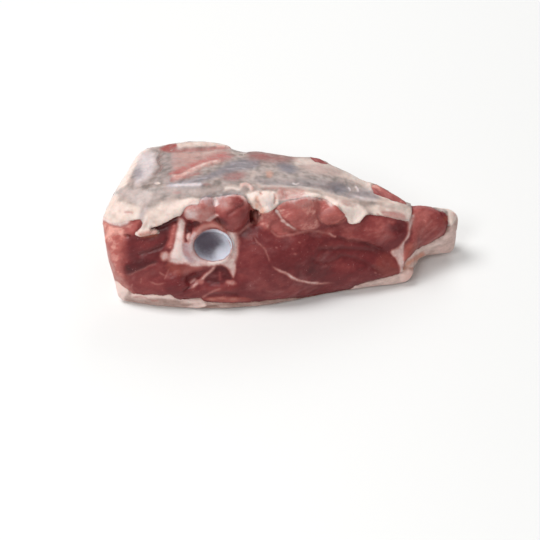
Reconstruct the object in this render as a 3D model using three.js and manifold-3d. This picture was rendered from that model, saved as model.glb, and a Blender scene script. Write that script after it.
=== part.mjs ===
// A raw pork shoulder joint, lying on its skin side with the cut face towards -Y and the thin end towards +X.
// Three pieces: the lean meat under its membranes, the layer of fat and skin that it lies on, and the end of
// the blade bone, whose shallow socket opens in the cut face. Millimetres, +Z up.
import * as THREE from 'three';
import { mergeVertices } from 'three/addons/utils/BufferGeometryUtils.js';
import Module from 'manifold-3d';

const wasm = await Module();
wasm.setup();

const { clamp, degToRad, lerp, mapLinear } = THREE.MathUtils;

// Middle of the joint's box in the coordinates of the edges below; the finished group is moved back by it.
const MIDDLE_X = 9;
const MIDDLE_Y = 6.8;

// Grid of the joint's surface: steps along it, across it and up it.
const GRID = { along: 56, across: 9, up: 15 };
const WELD = 1e-4;

// The four long edges of the joint before they are rounded, each from the thick end to the thin end.
const FRONT_FOOT = edge([-107, -37, 0], [-72, -44, 0], [-37, -46, 0], [0, -42, 0], [40, -30, 0],
  [75, -22, 0], [98, -16, 0], [107, 3, 5], [133, 12, 4]);
const FRONT_TOP = edge([-121, -19, 65], [-74, -18, 79], [-37, -17, 80], [0, -12, 76], [40, -5, 68],
  [75, 0, 57], [97, 4, 48], [107, 11, 44], [134, 14, 36]);
const BACK_TOP = edge([-93, 46, 73], [-65, 48, 75], [-37, 48, 74], [0, 43, 71], [38, 38, 66],
  [68, 29, 54], [92, 20, 43], [107, 22, 41], [132, 24, 35]);
const BACK_FOOT = edge([-91, 52, 0], [-65, 56, 0], [-37, 57, 0], [0, 54, 0], [38, 49, 0],
  [70, 42, 0], [92, 35, 0], [107, 34, 3], [131, 33, 3]);
const HALF_LENGTH = 122;

// Rounding of the long edges, the largest share of a half width that it may take, and each side's swelling.
const ROUND = { frontFoot: 5, frontTop: 15, backTop: 9, backFoot: 12, share: 0.8 };
const SWELL = { front: 2, back: 6, top: 2, thickEnd: 2 };

// Muscles that swell out of the cut face: middle [x, z], half width, half height, turn in degrees and rise.
const MUSCLES = [
  { name: 'round of the shoulder', at: [13, 33], wide: 38, high: 33, turn: -4, rise: 7.5 },
  { name: 'upper muscle', at: [18, 61], wide: 20, high: 11, turn: -6, rise: 8 },
  { name: 'small upper muscle', at: [44, 57], wide: 14, high: 9, turn: -12, rise: 6.5 },
  { name: 'muscle over the socket', at: [-25, 68], wide: 16, high: 13, turn: 15, rise: 8 },
  { name: 'muscle beside it', at: [-47, 69], wide: 14, high: 8, turn: -5, rise: 6.5 },
  { name: 'long upper muscle', at: [70, 39], wide: 36, high: 14, turn: -7, rise: 5.5 },
  { name: 'long lower muscle', at: [66, 16], wide: 44, high: 15, turn: -3, rise: 5 },
  { name: 'thick end muscle', at: [-92, 38], wide: 34, high: 26, turn: 0, rise: 4 },
  { name: 'low slanting muscle', at: [-72, 18], wide: 40, high: 14, turn: 12, rise: 4.5 },
  { name: 'small low muscle', at: [-32, 17], wide: 20, high: 12, turn: -20, rise: 4.5 },
  { name: 'tissue round the socket', at: [-44, 47], wide: 24, high: 22, turn: 0, rise: 4.5 },
  { name: 'thin end muscle', at: [113, 30], wide: 20, high: 17, turn: -12, rise: 4 },
  { name: 'fat bead', at: [-6, 73], wide: 9, high: 7, turn: 0, rise: 5 },
  { name: 'small fat bead', at: [2, 68], wide: 8, high: 7, turn: 30, rise: 5 },
];

// Ridges on the top: middle [x, y], half length along it, half width across it, turn in degrees and rise.
const RIDGES = [
  { name: 'back strip', at: [-47, 44], wide: 34, high: 9, turn: 2, rise: 3 },
  { name: 'blade edge', at: [-52, -6], wide: 28, high: 8, turn: 3, rise: 2 },
  { name: 'long fold', at: [-46, 18], wide: 30, high: 8, turn: 32, rise: 2.5 },
  { name: 'bump in the back edge', at: [32, 36], wide: 12, high: 8, turn: 0, rise: 2 },
  { name: 'strip at the thin end', at: [80, 18], wide: 18, high: 9, turn: -25, rise: 3 },
];
const DOME_POWER = 1.1;

// How far a surface faces forward or up before it takes each kind of relief, and the height where it starts.
const FACES_FORWARD = [0.15, 0.7];
const FACES_UP = [0.35, 0.9];
const RELIEF_FROM = 8;

// Hollows in the cut face, given like the muscles, with their depth.
const HOLLOWS = [
  { name: 'pocket between two muscles', at: [-11, 64], wide: 4.5, high: 9, turn: 10, deep: 7 },
  { name: 'pits beside the socket', at: [-58, 61], wide: 4, high: 6, turn: 0, deep: 5 },
  { name: 'hollow under the socket', at: [-53, 25], wide: 9, high: 5, turn: -20, deep: 5 },
];
const HOLLOW_STEPS = { round: 16, down: 10 };

// Lower edge, [x, z], of the fat and membrane that wrap over the cut face from the top, and how proud they
// stand, which fades out towards the thick end.
const COVER_EDGE = [[-124, 55], [-103, 60], [-91, 62], [-95, 53], [-82, 57], [-67, 65], [-58, 72], [-37, 77],
  [-23, 78], [-15, 75], [-8, 66], [3, 69], [14, 71], [32, 69], [43, 65], [51, 56], [58, 48], [64, 53],
  [70, 55], [83, 50], [97, 45], [101, 56], [104, 70]];
const COVER_RISE = 2.6;
const COVER_FADE = [0.9, 0.2];
const COVER_SLAB = { past: 40, top: 120, halfDepth: 120, curveSteps: 2 };

// The blade bone's end: its socket's middle [x, z], its face's lean, the sizes of its cup, rim and neck across,
// and how much flatter it all is upwards.
const SOCKET = {
  at: [-39.5, 47.5], leanBack: 17, sunk: 1, radius: 13, depth: 8.5, rim: 1.6, lip: 0.6, bevel: 1, wall: 6,
  neckRadius: 10, neckFrom: 16, boneDepth: 26, flat: 0.84, steps: 28, cupSteps: 8,
};

// The fat and skin under the meat: height of its upper edge on the cut face as [x, z], how far up the back it
// goes and how thick it is there. The meat above it reaches past the joint's own surface on every other side.
const FAT_EDGE = [[-106, 10], [-60, 8.5], [-5, 6.5], [50, 4.5], [80, 6], [96, 9], [106, 15], [118, 21],
  [133, 22]];
const SKIN = { backHeight: 40, backThick: 6, fade: 7, past: 15, waves: 3 };
const SKIN_GRID = { along: 36, across: 5, up: 10 };

// Room between two touching pieces, and past the cut face in front of the bone.
const GAP = 0.35;
const CLEAR = 20;

// A long edge as a smooth curve through its points.
function edge(...points) {
  return new THREE.CatmullRomCurve3(points.map((p) => new THREE.Vector3(...p)));
}

// 0 at start, 1 at end and smooth between; start may be the larger of the two.
function smooth(start, end, value) {
  const t = clamp((value - start) / (end - start), 0, 1);
  return t * t * (3 - 2 * t);
}

// Straight-line interpolation in a list of [x, value] pairs.
function along(pairs, x) {
  const next = pairs.findIndex(([px]) => px > x);
  if (next === 0) return pairs[0][1];
  if (next < 0) return pairs[pairs.length - 1][1];
  const [[x0, v0], [x1, v1]] = [pairs[next - 1], pairs[next]];
  return mapLinear(x, x0, x1, v0, v1);
}

// Mixes four corner values, for front or back (b from -1 to 1) and foot or top (c from -1 to 1).
function mixCorners(b, c, frontFoot, frontTop, backFoot, backTop) {
  const front = lerp(frontFoot, frontTop, (c + 1) / 2);
  const back = lerp(backFoot, backTop, (c + 1) / 2);
  return lerp(front, back, (b + 1) / 2);
}

// The joint's section at a from -1 (thick end) to 1 (thin end): its four edge points.
function corners(a) {
  const t = clamp((a + 1) / 2, 0, 1);
  return [FRONT_FOOT, FRONT_TOP, BACK_FOOT, BACK_TOP].map((rail) => rail.getPoint(t));
}

// A point of the rounded joint from a point of the cube from -1 to 1.
function jointPoint(a, b, c) {
  const [frontFoot, frontTop, backFoot, backTop] = corners(a);
  const half = [
    HALF_LENGTH,
    (frontFoot.distanceTo(backFoot) + frontTop.distanceTo(backTop)) / 4,
    (frontFoot.distanceTo(frontTop) + backFoot.distanceTo(backTop)) / 4,
  ];
  const wanted = mixCorners(b, c, ROUND.frontFoot, ROUND.frontTop, ROUND.backFoot, ROUND.backTop);
  const radius = Math.min(wanted, ROUND.share * half[1], ROUND.share * half[2]);
  const p = new THREE.Vector3(a * half[0], b * half[1], c * half[2]);
  const inner = new THREE.Vector3(...[0, 1, 2].map((i) => {
    const reach = half[i] - radius;
    return clamp(p.getComponent(i), -reach, reach);
  }));
  const rounded = inner.clone().add(p.clone().sub(inner).setLength(radius));
  const [ra, rb, rc] = [0, 1, 2].map((i) => rounded.getComponent(i) / half[i]);
  const rails = corners(ra);
  const mixed = ['x', 'y', 'z'].map((axis) => mixCorners(rb, rc, ...rails.map((rail) => rail[axis])));
  const at = new THREE.Vector3(...mixed);
  const crown = (s) => 1 - s * s;
  at.x -= SWELL.thickEnd * smooth(-0.6, -1, ra) * crown(rb) * crown(rc);
  at.y -= SWELL.front * smooth(0, 1, -rb) * crown(rc);
  at.y += SWELL.back * smooth(0, 1, rb) * crown(rc) * smooth(1, 0.5, ra);
  at.z += SWELL.top * smooth(0, 1, rc) * crown(rb);
  at.z = Math.max(at.z, 0);
  return at;
}

// Drops all but the positions and merges the vertices that meet.
function welded(geometry) {
  geometry.deleteAttribute('normal');
  geometry.deleteAttribute('uv');
  return mergeVertices(geometry, WELD);
}

// Geometry to a solid that can be joined and cut.
function solidOf(geometry) {
  const merged = welded(geometry);
  return new wasm.Manifold(new wasm.Mesh({
    numProp: 3,
    vertProperties: merged.attributes.position.array,
    triVerts: new Uint32Array(merged.index.array),
  }));
}

// A solid back to geometry.
function geometryOf(solid) {
  const { vertProperties, triVerts } = solid.getMesh();
  const geometry = new THREE.BufferGeometry();
  geometry.setAttribute('position', new THREE.BufferAttribute(vertProperties, 3));
  geometry.setIndex(new THREE.BufferAttribute(triVerts, 1));
  return geometry;
}

// A cube whose grid points, from -1 to 1, are each moved to the point that place gives.
function warpedCube(steps, place) {
  const geometry = welded(new THREE.BoxGeometry(2, 2, 2, steps.along, steps.across, steps.up));
  const position = geometry.attributes.position;
  for (let i = 0; i < position.count; i++) {
    const p = place(position.getX(i), position.getY(i), position.getZ(i));
    position.setXYZ(i, p.x, p.y, p.z);
  }
  return geometry;
}

// The highest of some domes over a point of the plane that they stand on.
function domes(list, x, y) {
  return Math.max(0, ...list.map(({ at, wide, high, turn, rise }) => {
    const local = new THREE.Vector2(x - at[0], y - at[1]);
    local.rotateAround(new THREE.Vector2(), -degToRad(turn));
    return rise * Math.max(0, 1 - (local.x / wide) ** 2 - (local.y / high) ** 2) ** DOME_POWER;
  }));
}

// The joint's surface with its muscles and ridges, moved out by raise.
function jointSurface(raise) {
  const geometry = warpedCube(GRID, jointPoint);
  geometry.computeVertexNormals();
  const { position, normal } = geometry.attributes;
  for (let i = 0; i < position.count; i++) {
    const p = new THREE.Vector3().fromBufferAttribute(position, i);
    const n = new THREE.Vector3().fromBufferAttribute(normal, i);
    const front = smooth(...FACES_FORWARD, -n.y) * domes(MUSCLES, p.x, p.z);
    const top = smooth(...FACES_UP, n.z) * domes(RIDGES, p.x, p.y);
    const out = Math.max(front, top) + raise * smooth(...COVER_FADE, -n.x);
    p.addScaledVector(n, out * smooth(0, RELIEF_FROM, p.z));
    position.setXYZ(i, p.x, p.y, p.z);
  }
  return solidOf(geometry);
}

// How far forward the cut face lies at [x, z], with its muscles.
function cutFaceAt([x, z]) {
  const t = mapLinear(x, FRONT_FOOT.points[0].x, FRONT_FOOT.points.at(-1).x, 0, 1);
  const [foot, top] = [FRONT_FOOT.getPoint(t), FRONT_TOP.getPoint(t)];
  return mapLinear(z, foot.z, top.z, foot.y, top.y) - SWELL.front - domes(MUSCLES, x, z);
}

// The room that a hollow takes in the cut face: a flattened ball, turned and laid against the face.
function hollow({ at, wide, high, turn, deep }) {
  const ball = new THREE.SphereGeometry(1, HOLLOW_STEPS.round, HOLLOW_STEPS.down);
  ball.rotateX(Math.PI / 2);
  ball.scale(wide, deep, high);
  ball.rotateY(-degToRad(turn));
  ball.rotateX(-degToRad(SOCKET.leanBack));
  ball.translate(at[0], cutFaceAt(at), at[1]);
  return solidOf(ball);
}

// Everything above the cover's lower edge, as seen from the front.
function aboveCoverEdge() {
  const { past, top, halfDepth, curveSteps } = COVER_SLAB;
  const [left, right] = [COVER_EDGE[0], COVER_EDGE.at(-1)];
  const outline = new THREE.Shape();
  outline.moveTo(left[0] - past, left[1]);
  outline.lineTo(...left);
  outline.splineThru(COVER_EDGE.slice(1).map((p) => new THREE.Vector2(...p)));
  outline.lineTo(right[0], top);
  outline.lineTo(left[0] - past, top);
  const slab = new THREE.ExtrudeGeometry(outline, {
    depth: 2 * halfDepth, bevelEnabled: false, curveSegments: curveSteps,
  });
  slab.rotateX(Math.PI / 2);
  slab.translate(0, halfDepth, 0);
  return solidOf(slab);
}

// The whole joint with its cover and its hollows.
function wholeJoint() {
  const covered = jointSurface(0).add(jointSurface(COVER_RISE).intersect(aboveCoverEdge()));
  return HOLLOWS.reduce((joint, each) => joint.subtract(hollow(each)), covered);
}

// Small unevenness of the fat's inner face.
function ripple(x) {
  return 0.8 * Math.sin(x / 9) + 0.5 * Math.sin(x / 4.7 + 1);
}

// Everything above the fat and skin, clear of them by gap: the joint's own form, moved up off its foot and in
// from its back.
function aboveFat(gap) {
  const geometry = warpedCube(SKIN_GRID, (a, b, c) => {
    const p = jointPoint(a, b, c);
    const edgeHeight = SKIN.backHeight + SKIN.waves * ripple(p.x);
    const covered = smooth(edgeHeight + SKIN.fade, edgeHeight - SKIN.fade, p.z);
    const backward = lerp(SKIN.past, -SKIN.backThick, covered);
    p.z += (along(FAT_EDGE, p.x) + ripple(p.x)) * (1 - c) / 2 + SKIN.past * smooth(0.4, 1, c);
    p.y += backward * (1 + b) / 2 - SKIN.past * (1 - b) / 2;
    p.x += Math.sign(a) * SKIN.past * smooth(0.9, 1, Math.abs(a));
    return p;
  });
  geometry.translate(0, -gap, gap);
  return solidOf(geometry);
}

// A solid turned about the socket's axis from a profile of [radius, height], flattened and set in the cut face.
function turnedAtSocket(profile) {
  const points = profile.map(([r, h]) => new THREE.Vector2(r, h));
  const geometry = new THREE.LatheGeometry(points, SOCKET.steps);
  geometry.scale(1, 1, SOCKET.flat);
  geometry.rotateX(Math.PI - degToRad(SOCKET.leanBack));
  geometry.translate(SOCKET.at[0], cutFaceAt(SOCKET.at) + SOCKET.sunk, SOCKET.at[1]);
  return solidOf(geometry);
}

// The end of the blade bone: a shallow cup on a neck that runs back into the meat.
function bladeBone() {
  const { radius, depth, rim, lip, bevel, wall, neckRadius, neckFrom, boneDepth, cupSteps } = SOCKET;
  const outside = [[0, -boneDepth], [neckRadius, -boneDepth], [neckRadius, -neckFrom], [radius + rim, -wall],
    [radius + rim, -bevel], [radius + rim / 2, lip]];
  const cup = Array.from({ length: cupSteps + 1 }, (_, i) => {
    const turn = (Math.PI / 2) * (1 - i / cupSteps);
    return [radius * Math.sin(turn), -depth * Math.cos(turn)];
  });
  return turnedAtSocket([...outside, ...cup]);
}

// The room that the bone takes in the meat, open towards the cut face.
function boneRoom() {
  const { radius, rim, wall, neckRadius, neckFrom, boneDepth } = SOCKET;
  const [wide, narrow, deep] = [radius + rim + GAP, neckRadius + GAP, boneDepth + GAP];
  return turnedAtSocket([[0, -deep], [narrow, -deep], [narrow, -neckFrom], [wide, -wall], [wide, CLEAR],
    [0, CLEAR]]);
}

function piece(name, solid, color, roughness) {
  const material = new THREE.MeshStandardMaterial({ color, roughness, metalness: 0 });
  const mesh = new THREE.Mesh(geometryOf(solid), material);
  mesh.name = name;
  return mesh;
}

const joint = wholeJoint();
const pork = new THREE.Group();
pork.add(
  piece('meat', joint.intersect(aboveFat(GAP)).subtract(boneRoom()), 0xa8544f, 0.4),
  piece('fat_and_skin', joint.subtract(aboveFat(0)), 0xe3c4b4, 0.5),
  piece('blade_bone', bladeBone(), 0xd5d3dc, 0.25),
);
pork.position.set(-MIDDLE_X, -MIDDLE_Y, 0);

export default pork;
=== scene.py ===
"""The looks of a raw pork shoulder joint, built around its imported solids.

The solids are joined into one finely meshed surface. Relief is then worked into it, such as muscles, clefts,
fat lobes and flakes, and fields are stored on it that say where it is lean, fat, membrane or skin. Last it is
cut into closed pieces, whose node materials read those fields. What the camera sees is placed by lines and
outlines in the pixels of a 540 x 540 picture, projected on the surface, and the hidden sides are finished by
rule. Metres, +Z up.
"""
import math

import bmesh
import bpy
import numpy as np
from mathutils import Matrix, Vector
from mathutils.bvhtree import BVHTree

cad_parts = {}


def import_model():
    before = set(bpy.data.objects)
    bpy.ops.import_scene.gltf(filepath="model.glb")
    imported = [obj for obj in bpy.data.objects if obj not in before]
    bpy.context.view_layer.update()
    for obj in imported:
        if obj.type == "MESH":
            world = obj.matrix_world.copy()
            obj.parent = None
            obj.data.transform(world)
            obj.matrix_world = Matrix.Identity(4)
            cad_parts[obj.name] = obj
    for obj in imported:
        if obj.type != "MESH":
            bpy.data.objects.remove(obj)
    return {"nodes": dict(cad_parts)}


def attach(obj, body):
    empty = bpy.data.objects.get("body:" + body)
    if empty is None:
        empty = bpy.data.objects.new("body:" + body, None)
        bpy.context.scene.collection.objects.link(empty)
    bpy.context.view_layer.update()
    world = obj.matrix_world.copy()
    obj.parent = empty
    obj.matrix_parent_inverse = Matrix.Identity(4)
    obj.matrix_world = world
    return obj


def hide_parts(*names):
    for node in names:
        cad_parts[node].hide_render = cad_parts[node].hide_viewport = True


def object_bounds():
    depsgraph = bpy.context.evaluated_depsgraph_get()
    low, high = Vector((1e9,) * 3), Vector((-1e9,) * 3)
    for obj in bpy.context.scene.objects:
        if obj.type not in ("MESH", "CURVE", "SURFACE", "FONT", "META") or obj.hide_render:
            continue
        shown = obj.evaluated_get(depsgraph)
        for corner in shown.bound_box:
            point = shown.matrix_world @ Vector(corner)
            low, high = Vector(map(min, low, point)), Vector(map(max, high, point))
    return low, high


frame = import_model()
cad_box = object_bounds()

MM = 0.001
SEED = 7
TINY = 1e-9    # keeps a division from being by zero

# The picture's frame and the camera that took it.
PICTURE = 540
FOCAL_PIXELS = 1904
SENSOR = 36.0
CLIP_START = 0.05
ELEVATION = math.radians(39.28)
DISTANCE = 1.355
AIM = np.array((-0.009, -0.0068, 0.0))
FORWARD = np.array((0.0, math.cos(ELEVATION), -math.sin(ELEVATION)))
RIGHT = np.array((1.0, 0.0, 0.0))
UP = np.array((0.0, math.sin(ELEVATION), math.cos(ELEVATION)))
CAMERA_AT = AIM - DISTANCE * FORWARD
PIXEL = DISTANCE / FOCAL_PIXELS / MM    # millimetres on the object for each pixel of the picture

# The surface: size of its faces, and rounds of smoothing that take the solids' facets off without shrinking.
FACE = 0.8 * MM
SMOOTHING = {"rounds": 60, "grow": -0.52}
# Rounds without the way back, for an even base that the relief is put on. They leave the outline that the
# camera sees as it is, and keep clear of the socket by a distance in millimetres, from none to all.
CALMING = 70
CALM_FACING = (0.25, 0.5)
CALM_HIDDEN = (0.1, -0.1)
CALM_FROM_BONE = (1, 6)
# Rounds that smooth how much each place faces the camera, so that small steps don't count as hidden.
FACING_CALMED = 40
FACING_AROUND = 160
# A sharp step in the far edge, in the picture, is rounded off and has no relief, so that nothing folds over.
STEP = {"middle": (246, 150.5), "across": 12.5, "down": 8, "turn": 8, "soft": 0.5}
STEP_SMOOTHED = 70
# The cover runs on down it inside this ball, and turns as white as this over its edge, in millimetres.
STEP_COVERED = {"middle": (-31, 27, 76.5), "radius": 7.5, "white": 0.35, "edge": (0, 3)}

# Where the camera sees the surface well: the cosine of its angle to the view, from none to all. Either the
# cosine itself counts, or its mean over a wide stretch around each place.
SEEN = (0.02, 0.25)
SEEN_AROUND = (-0.1, 0.15)
# The same for the drawn relief.
SHAPED = (0.28, 0.5)
# Noise that moves drawn edges: size of its bumps and how far, in millimetres.
WOBBLE = [(6, 0.5), (2, 0.22)]
# The muscle fibres: how they slant in degrees, and how much noise is drawn out along them.
FIBRES = {"slant": 24, "squeeze": 0.25}
# A drawn line has faded out at this many of its half widths. Lines drawn together fade over this share of
# their length at each end, and ovals drawn together have an edge this soft.
STROKE_REACH = 3
STRAND_ENDS = 0.25
OVALS_SOFT = 0.7

# Noise on the surface: the size of its bumps in millimetres, its seed and how much of it there is.
BUMPS = {
    "rough": (9, 51, 1.0),
    "finer rough": (4, 52, 0.5),
    "border": (21, 57, 3.0),
    "meat": (7, 61, 0.30),
    "meat grain": (2.6, 62, 0.07),
    "fibres": (2.0, 63, 0.09),
    "fat": (7, 64, 0.60),
    "fat grain": (2.6, 65, 0.20),
    "membrane": (4.5, 66, 0.28),
    "membrane grain": (1.9, 67, 0.08),
}
# The membrane's bumps are drawn out along the joint.
MEMBRANE_SQUEEZE = (0.4, 1, 1)

# The hidden sides, in millimetres. There the cover and the skin are where the fat's solid is nearer than the
# meat's, which counts up to so much, and the skin is below a height. Noise moves both edges.
NEARER = 7
ROUGH_BORDER = 0.5
SKIN_TOP = {"height": 30, "rough": 6}
NO_BONE = -5.0
# Their tone and white: a base, the noise's share and more in one region.
HIDDEN_TONE = {"base": 0.1, "rough": 0.25, "corner": 0.7}
HIDDEN_WHITE = {"base": 0.65, "rough": 0.3, "skin": 0.25}
# Where those regions begin and are full: the thick end's corner, across the joint, and deep in the skin.
CORNER = (-22, -40)
DEEP_SKIN = (0, 3)
# Patches of colour: the most of it, the noise at which it begins and is full, that noise's size and seed.
PATCHES = {
    "blue": {"most": 1.0, "between": (0.1, 0.9), "size": 14, "seed": 53},
    "red": {"most": 0.5, "between": (0.3, 0.9), "size": 11, "seed": 54},
    "orange": {"most": 0.4, "between": (0.3, 0.9), "size": 17, "seed": 56},
}
# Marbling lies where its noise is near none, and is broken up by the rough noise.
MARBLING = {"most": 0.7, "between": (0.10, 0.03), "size": 22, "seed": 55, "broken": (-0.2, 0.3)}

# The lip at the cover's lower edge, in millimetres: how far it stands out, how deep the groove under it is,
# how far both reach, and between which depths into the cover each begins. Thin membrane has a share of them.
LIP = {"rise": 1.0, "groove": 0.25, "reach": 3.0, "on": (-0.2, 0.9), "off": (0.2, -0.6), "thin": 0.35}
# The groove along the skin's upper edge, in millimetres, with its half width.
SKIN_GROOVE = {"depth": 0.35, "width": 0.9}
# Between which depths in millimetres meat turns into cover and relief ends in the bone, and how white fat is.
COVERED = (-0.5, 1.0)
BONE_BARE = (0.6, -1.2)
FATTY = (0.3, 0.9)

# How the pieces part, in millimetres: the meat sinks so far under what covers it, between these depths into
# that, and the covers' inner sides lie so far under the plain surface.
SUNK = 1.2
SUNK_BETWEEN = (-0.5, 1.5)
THICKNESS = 2.4
# The meat is thinned out where it is hidden this deep, and the other pieces on their inner sides. What each
# keeps is a share of all its faces.
HIDDEN_MEAT = {"between": (1.6, 3.0), "kept": 0.5}
INNER_KEPT = 0.6
# A loose bit of the cover or the skin with fewer faces than this is left out.
SCRAP = 60

# Colours as the picture shows them, from 0 to 255.
COLOURS = {
    "fresh cut": (222, 132, 96),
    # Painted shade for clefts, creases, pits, hollows and the socket, and a darker tint in a few dark spots.
    "deep": (46, 12, 12),
    "thin tissue": (178, 112, 105),
    "tissue": (232, 208, 202),
    "blue tissue": (176, 172, 182),
    # Pale film: partly thin membrane, partly painted sheen and glints on the meat.
    "film_and_sheen": (176, 122, 120),
    "membrane low": (128, 116, 110),
    "membrane high": (186, 168, 162),
    "membrane blue": (106, 103, 114),
    "membrane red": (176, 92, 88),
    # Fat brighter than its own colour: painted light.
    "fat in painted light": (255, 233, 223),
    "fat": (236, 216, 206),
    "blue fat": (206, 200, 210),
    "fat shade": (208, 182, 170),
    "orange fat": (220, 132, 88),
    "skin low": (146, 112, 102),
    "skin high": (238, 211, 203),
    # Cartilage in painted shade.
    "bone in painted shade": (94, 84, 96),
    "bone high": (220, 221, 232),
}
# Lean colours by tone.
LEAN_TONES = [
    (-1.0, (52, 14, 18)),
    (-0.5, (86, 29, 32)),
    (0.0, (117, 45, 47)),
    (0.4, (143, 67, 65)),
    (0.75, (180, 100, 94)),
    (1.0, (234, 172, 160)),
]
# Noises in the materials: size of the bumps in millimetres, detail, and how they are drawn out if they are.
NOISES = {
    "wide": {"size": 13, "detail": 2},
    "coarse": {"size": 6, "detail": 2},
    "clouds": {"size": 5, "detail": 1},
    "ragged": {"size": 2.6, "detail": 3},
    "fine": {"size": 1.6, "detail": 3},
    "specks": {"size": 1.3, "detail": 1},
    "fibres": {"size": 2.2, "detail": 3, **FIBRES},
    "bundles": {"size": 6, "detail": 2, **FIBRES},
    "film_and_sheen": {"size": 8, "detail": 4, "squeeze": 0.6, "slant": FIBRES["slant"]},
    "streaks": {"size": 3, "detail": 3, "squeeze": 0.3},
    "skin_streaks": {"size": 2.5, "detail": 3, "squeeze": 0.25},
    "grain": {"size": 2.6, "detail": 2},
    "fine_grain": {"size": 1.0, "detail": 2, "squeeze": 0.5},
}
# Blender's noise stays within about a quarter of one half, which this brings to about -1 to 1.
NOISE_SPREAD = {"base": -2.0, "times": 4.0}
# How deep the materials' fine grain is.
GRAIN_DEPTH = 0.05 * MM
# Between which depths in millimetres one kind of surface turns into the next.
SEAM = {"start": -0.3, "full": 0.3}
ROUGHNESS = {"lean": 0.38, "cover": 0.34}
SHADER = {
    "Subsurface Weight": 0.2,
    "Subsurface Radius": (1.0, 0.35, 0.25),
    "Subsurface Scale": 2.0 * MM,
    "Specular IOR Level": 0.26,
}
# Blender's numbers for a mix node's two inputs and its output.
MIX_SOCKETS = {"RGBA": (6, 7, 2), "FLOAT": (2, 3, 0)}

# Floor and lamps: sizes and places in metres, powers in watts.
FLOOR = {"half": 6.0, "colour": (0.85, 0.85, 0.84, 1), "roughness": 0.8}
WORLD_STRENGTH = 0.3
LAMPS = {
    "key": {"power": 49, "size": 1.3, "at": (-1.1, 0.1, 2.4)},
    "rim": {"power": 4.5, "size": 0.8, "at": (0.35, 1.2, 0.95)},
    "fill": {"power": 6, "size": 0.45, "at": (-0.45, -1.0, 1.05)},
}
LIT_POINT = (0, 0, 0.04)

# The pieces, the solids each stands for and its finish.
PIECES = [
    ("lean_meat", ["meat"], "meat"),
    ("top_cover", ["fat_and_skin", "meat"], "fat"),
    ("under_skin", ["fat_and_skin"], "fat"),
    ("socket_bone", ["blade_bone"], "bone"),
]


# Numbers and noise

def smooth(low, high, value):
    """0 at low, 1 at high and smooth between; low may be the larger."""
    t = np.clip((value - low) / (high - low), 0, 1)
    return t * t * (3 - 2 * t)


def mix(first, second, share):
    return first + (second - first) * share


def noise(points, size, seed):
    """Seeded gradient noise from about -1 to 1, whose bumps are about size millimetres across."""
    cells = 256    # after which the noise repeats
    centre = 100    # keeps the cells' numbers above 0
    spread = 1.6    # brings it to about -1 to 1
    rng = np.random.default_rng(SEED * 1000 + seed)
    table = np.tile(rng.permutation(cells), 2)
    gradients = rng.normal(size=(cells, 3))
    gradients /= np.linalg.norm(gradients, axis=1)[:, None]
    scaled = points / (size * MM) + centre
    cell = np.floor(scaled).astype(int)
    part = scaled - cell
    fade = part * part * part * (part * (part * 6 - 15) + 10)
    cell %= cells

    def corner(dx, dy, dz):
        first = table[(cell[:, 0] + dx) % cells]
        second = table[(first + cell[:, 1] + dy) % cells]
        third = table[(second + cell[:, 2] + dz) % cells]
        return np.einsum("ij,ij->i", gradients[third], part - (dx, dy, dz))

    rows = [mix(corner(0, dy, dz), corner(1, dy, dz), fade[:, 0]) for dz in (0, 1) for dy in (0, 1)]
    low = mix(rows[0], rows[1], fade[:, 1])
    high = mix(rows[2], rows[3], fade[:, 1])
    return spread * mix(low, high, fade[:, 2])


def bumps(points, name):
    size, seed, amount = BUMPS[name]
    return amount * noise(points, size, seed)


# Lines and outlines in the picture

def in_picture(points):
    """Where points fall in the picture, in its pixels."""
    local = points - CAMERA_AT
    depth = local @ FORWARD
    across = PICTURE / 2 + FOCAL_PIXELS * (local @ RIGHT) / depth
    down = PICTURE / 2 - FOCAL_PIXELS * (local @ UP) / depth
    return np.stack((across, down), axis=1)


def curved(points, closed=False, steps=4):
    """A smooth curve through a few points, as an array of more points."""
    p = np.array(points, float)
    if closed:
        p = np.concatenate((p[-1:], p, p[:2]))
    else:
        p = np.concatenate((2 * p[:1] - p[1:2], p, 2 * p[-1:] - p[-2:-1]))
    t = np.arange(steps)[:, None] / steps
    spans = []
    for a, b, c, d in zip(p, p[1:], p[2:], p[3:]):
        cubic = (3 * b - a - 3 * c + d) * t ** 3 + (2 * a - 5 * b + 4 * c - d) * t ** 2 + (c - a) * t + 2 * b
        spans.append(cubic / 2)
    if not closed:
        spans.append(p[-2:-1])
    return np.concatenate(spans)


def to_line(places, line):
    """Distance in millimetres from each place to a line, and how far along it the nearest point is."""
    nearest = np.full(len(places), np.inf)
    along = np.zeros(len(places))
    for i, (a, b) in enumerate(zip(line, line[1:])):
        span = b - a
        reach = places - a
        t = np.clip(reach @ span / max(span @ span, TINY), 0, 1)
        away = np.hypot(*(reach - t[:, None] * span).T)
        better = away < nearest
        nearest[better] = away[better]
        along[better] = (i + t[better]) / (len(line) - 1)
    return nearest * PIXEL, along


def inside(places, outline):
    """Whether each place is inside a closed outline."""
    crossed = np.zeros(len(places), bool)
    for a, b in zip(outline, np.roll(outline, -1, axis=0)):
        between = (a[1] > places[:, 1]) != (b[1] > places[:, 1])
        slope = (b[0] - a[0]) / (b[1] - a[1]) if a[1] != b[1] else 0.0
        crossed ^= between & (places[:, 0] < a[0] + slope * (places[:, 1] - a[1]))
    return crossed


def depth_in(places, outline):
    """How far each place lies inside a closed outline, in millimetres, and negative outside."""
    away = to_line(places, np.concatenate((outline, outline[:1])))[0]
    return np.where(inside(places, outline), away, -away)


def depth_within(places, points):
    """The same for the closed curve through a few points."""
    return depth_in(places, curved(points, closed=True))


def depth_in_oval(places, middle, across, down):
    """Depth in millimetres inside an oval, and negative outside."""
    x, y = (places - middle).T
    return (1 - np.hypot(x / across, y / down)) * PIXEL * min(across, down)


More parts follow.
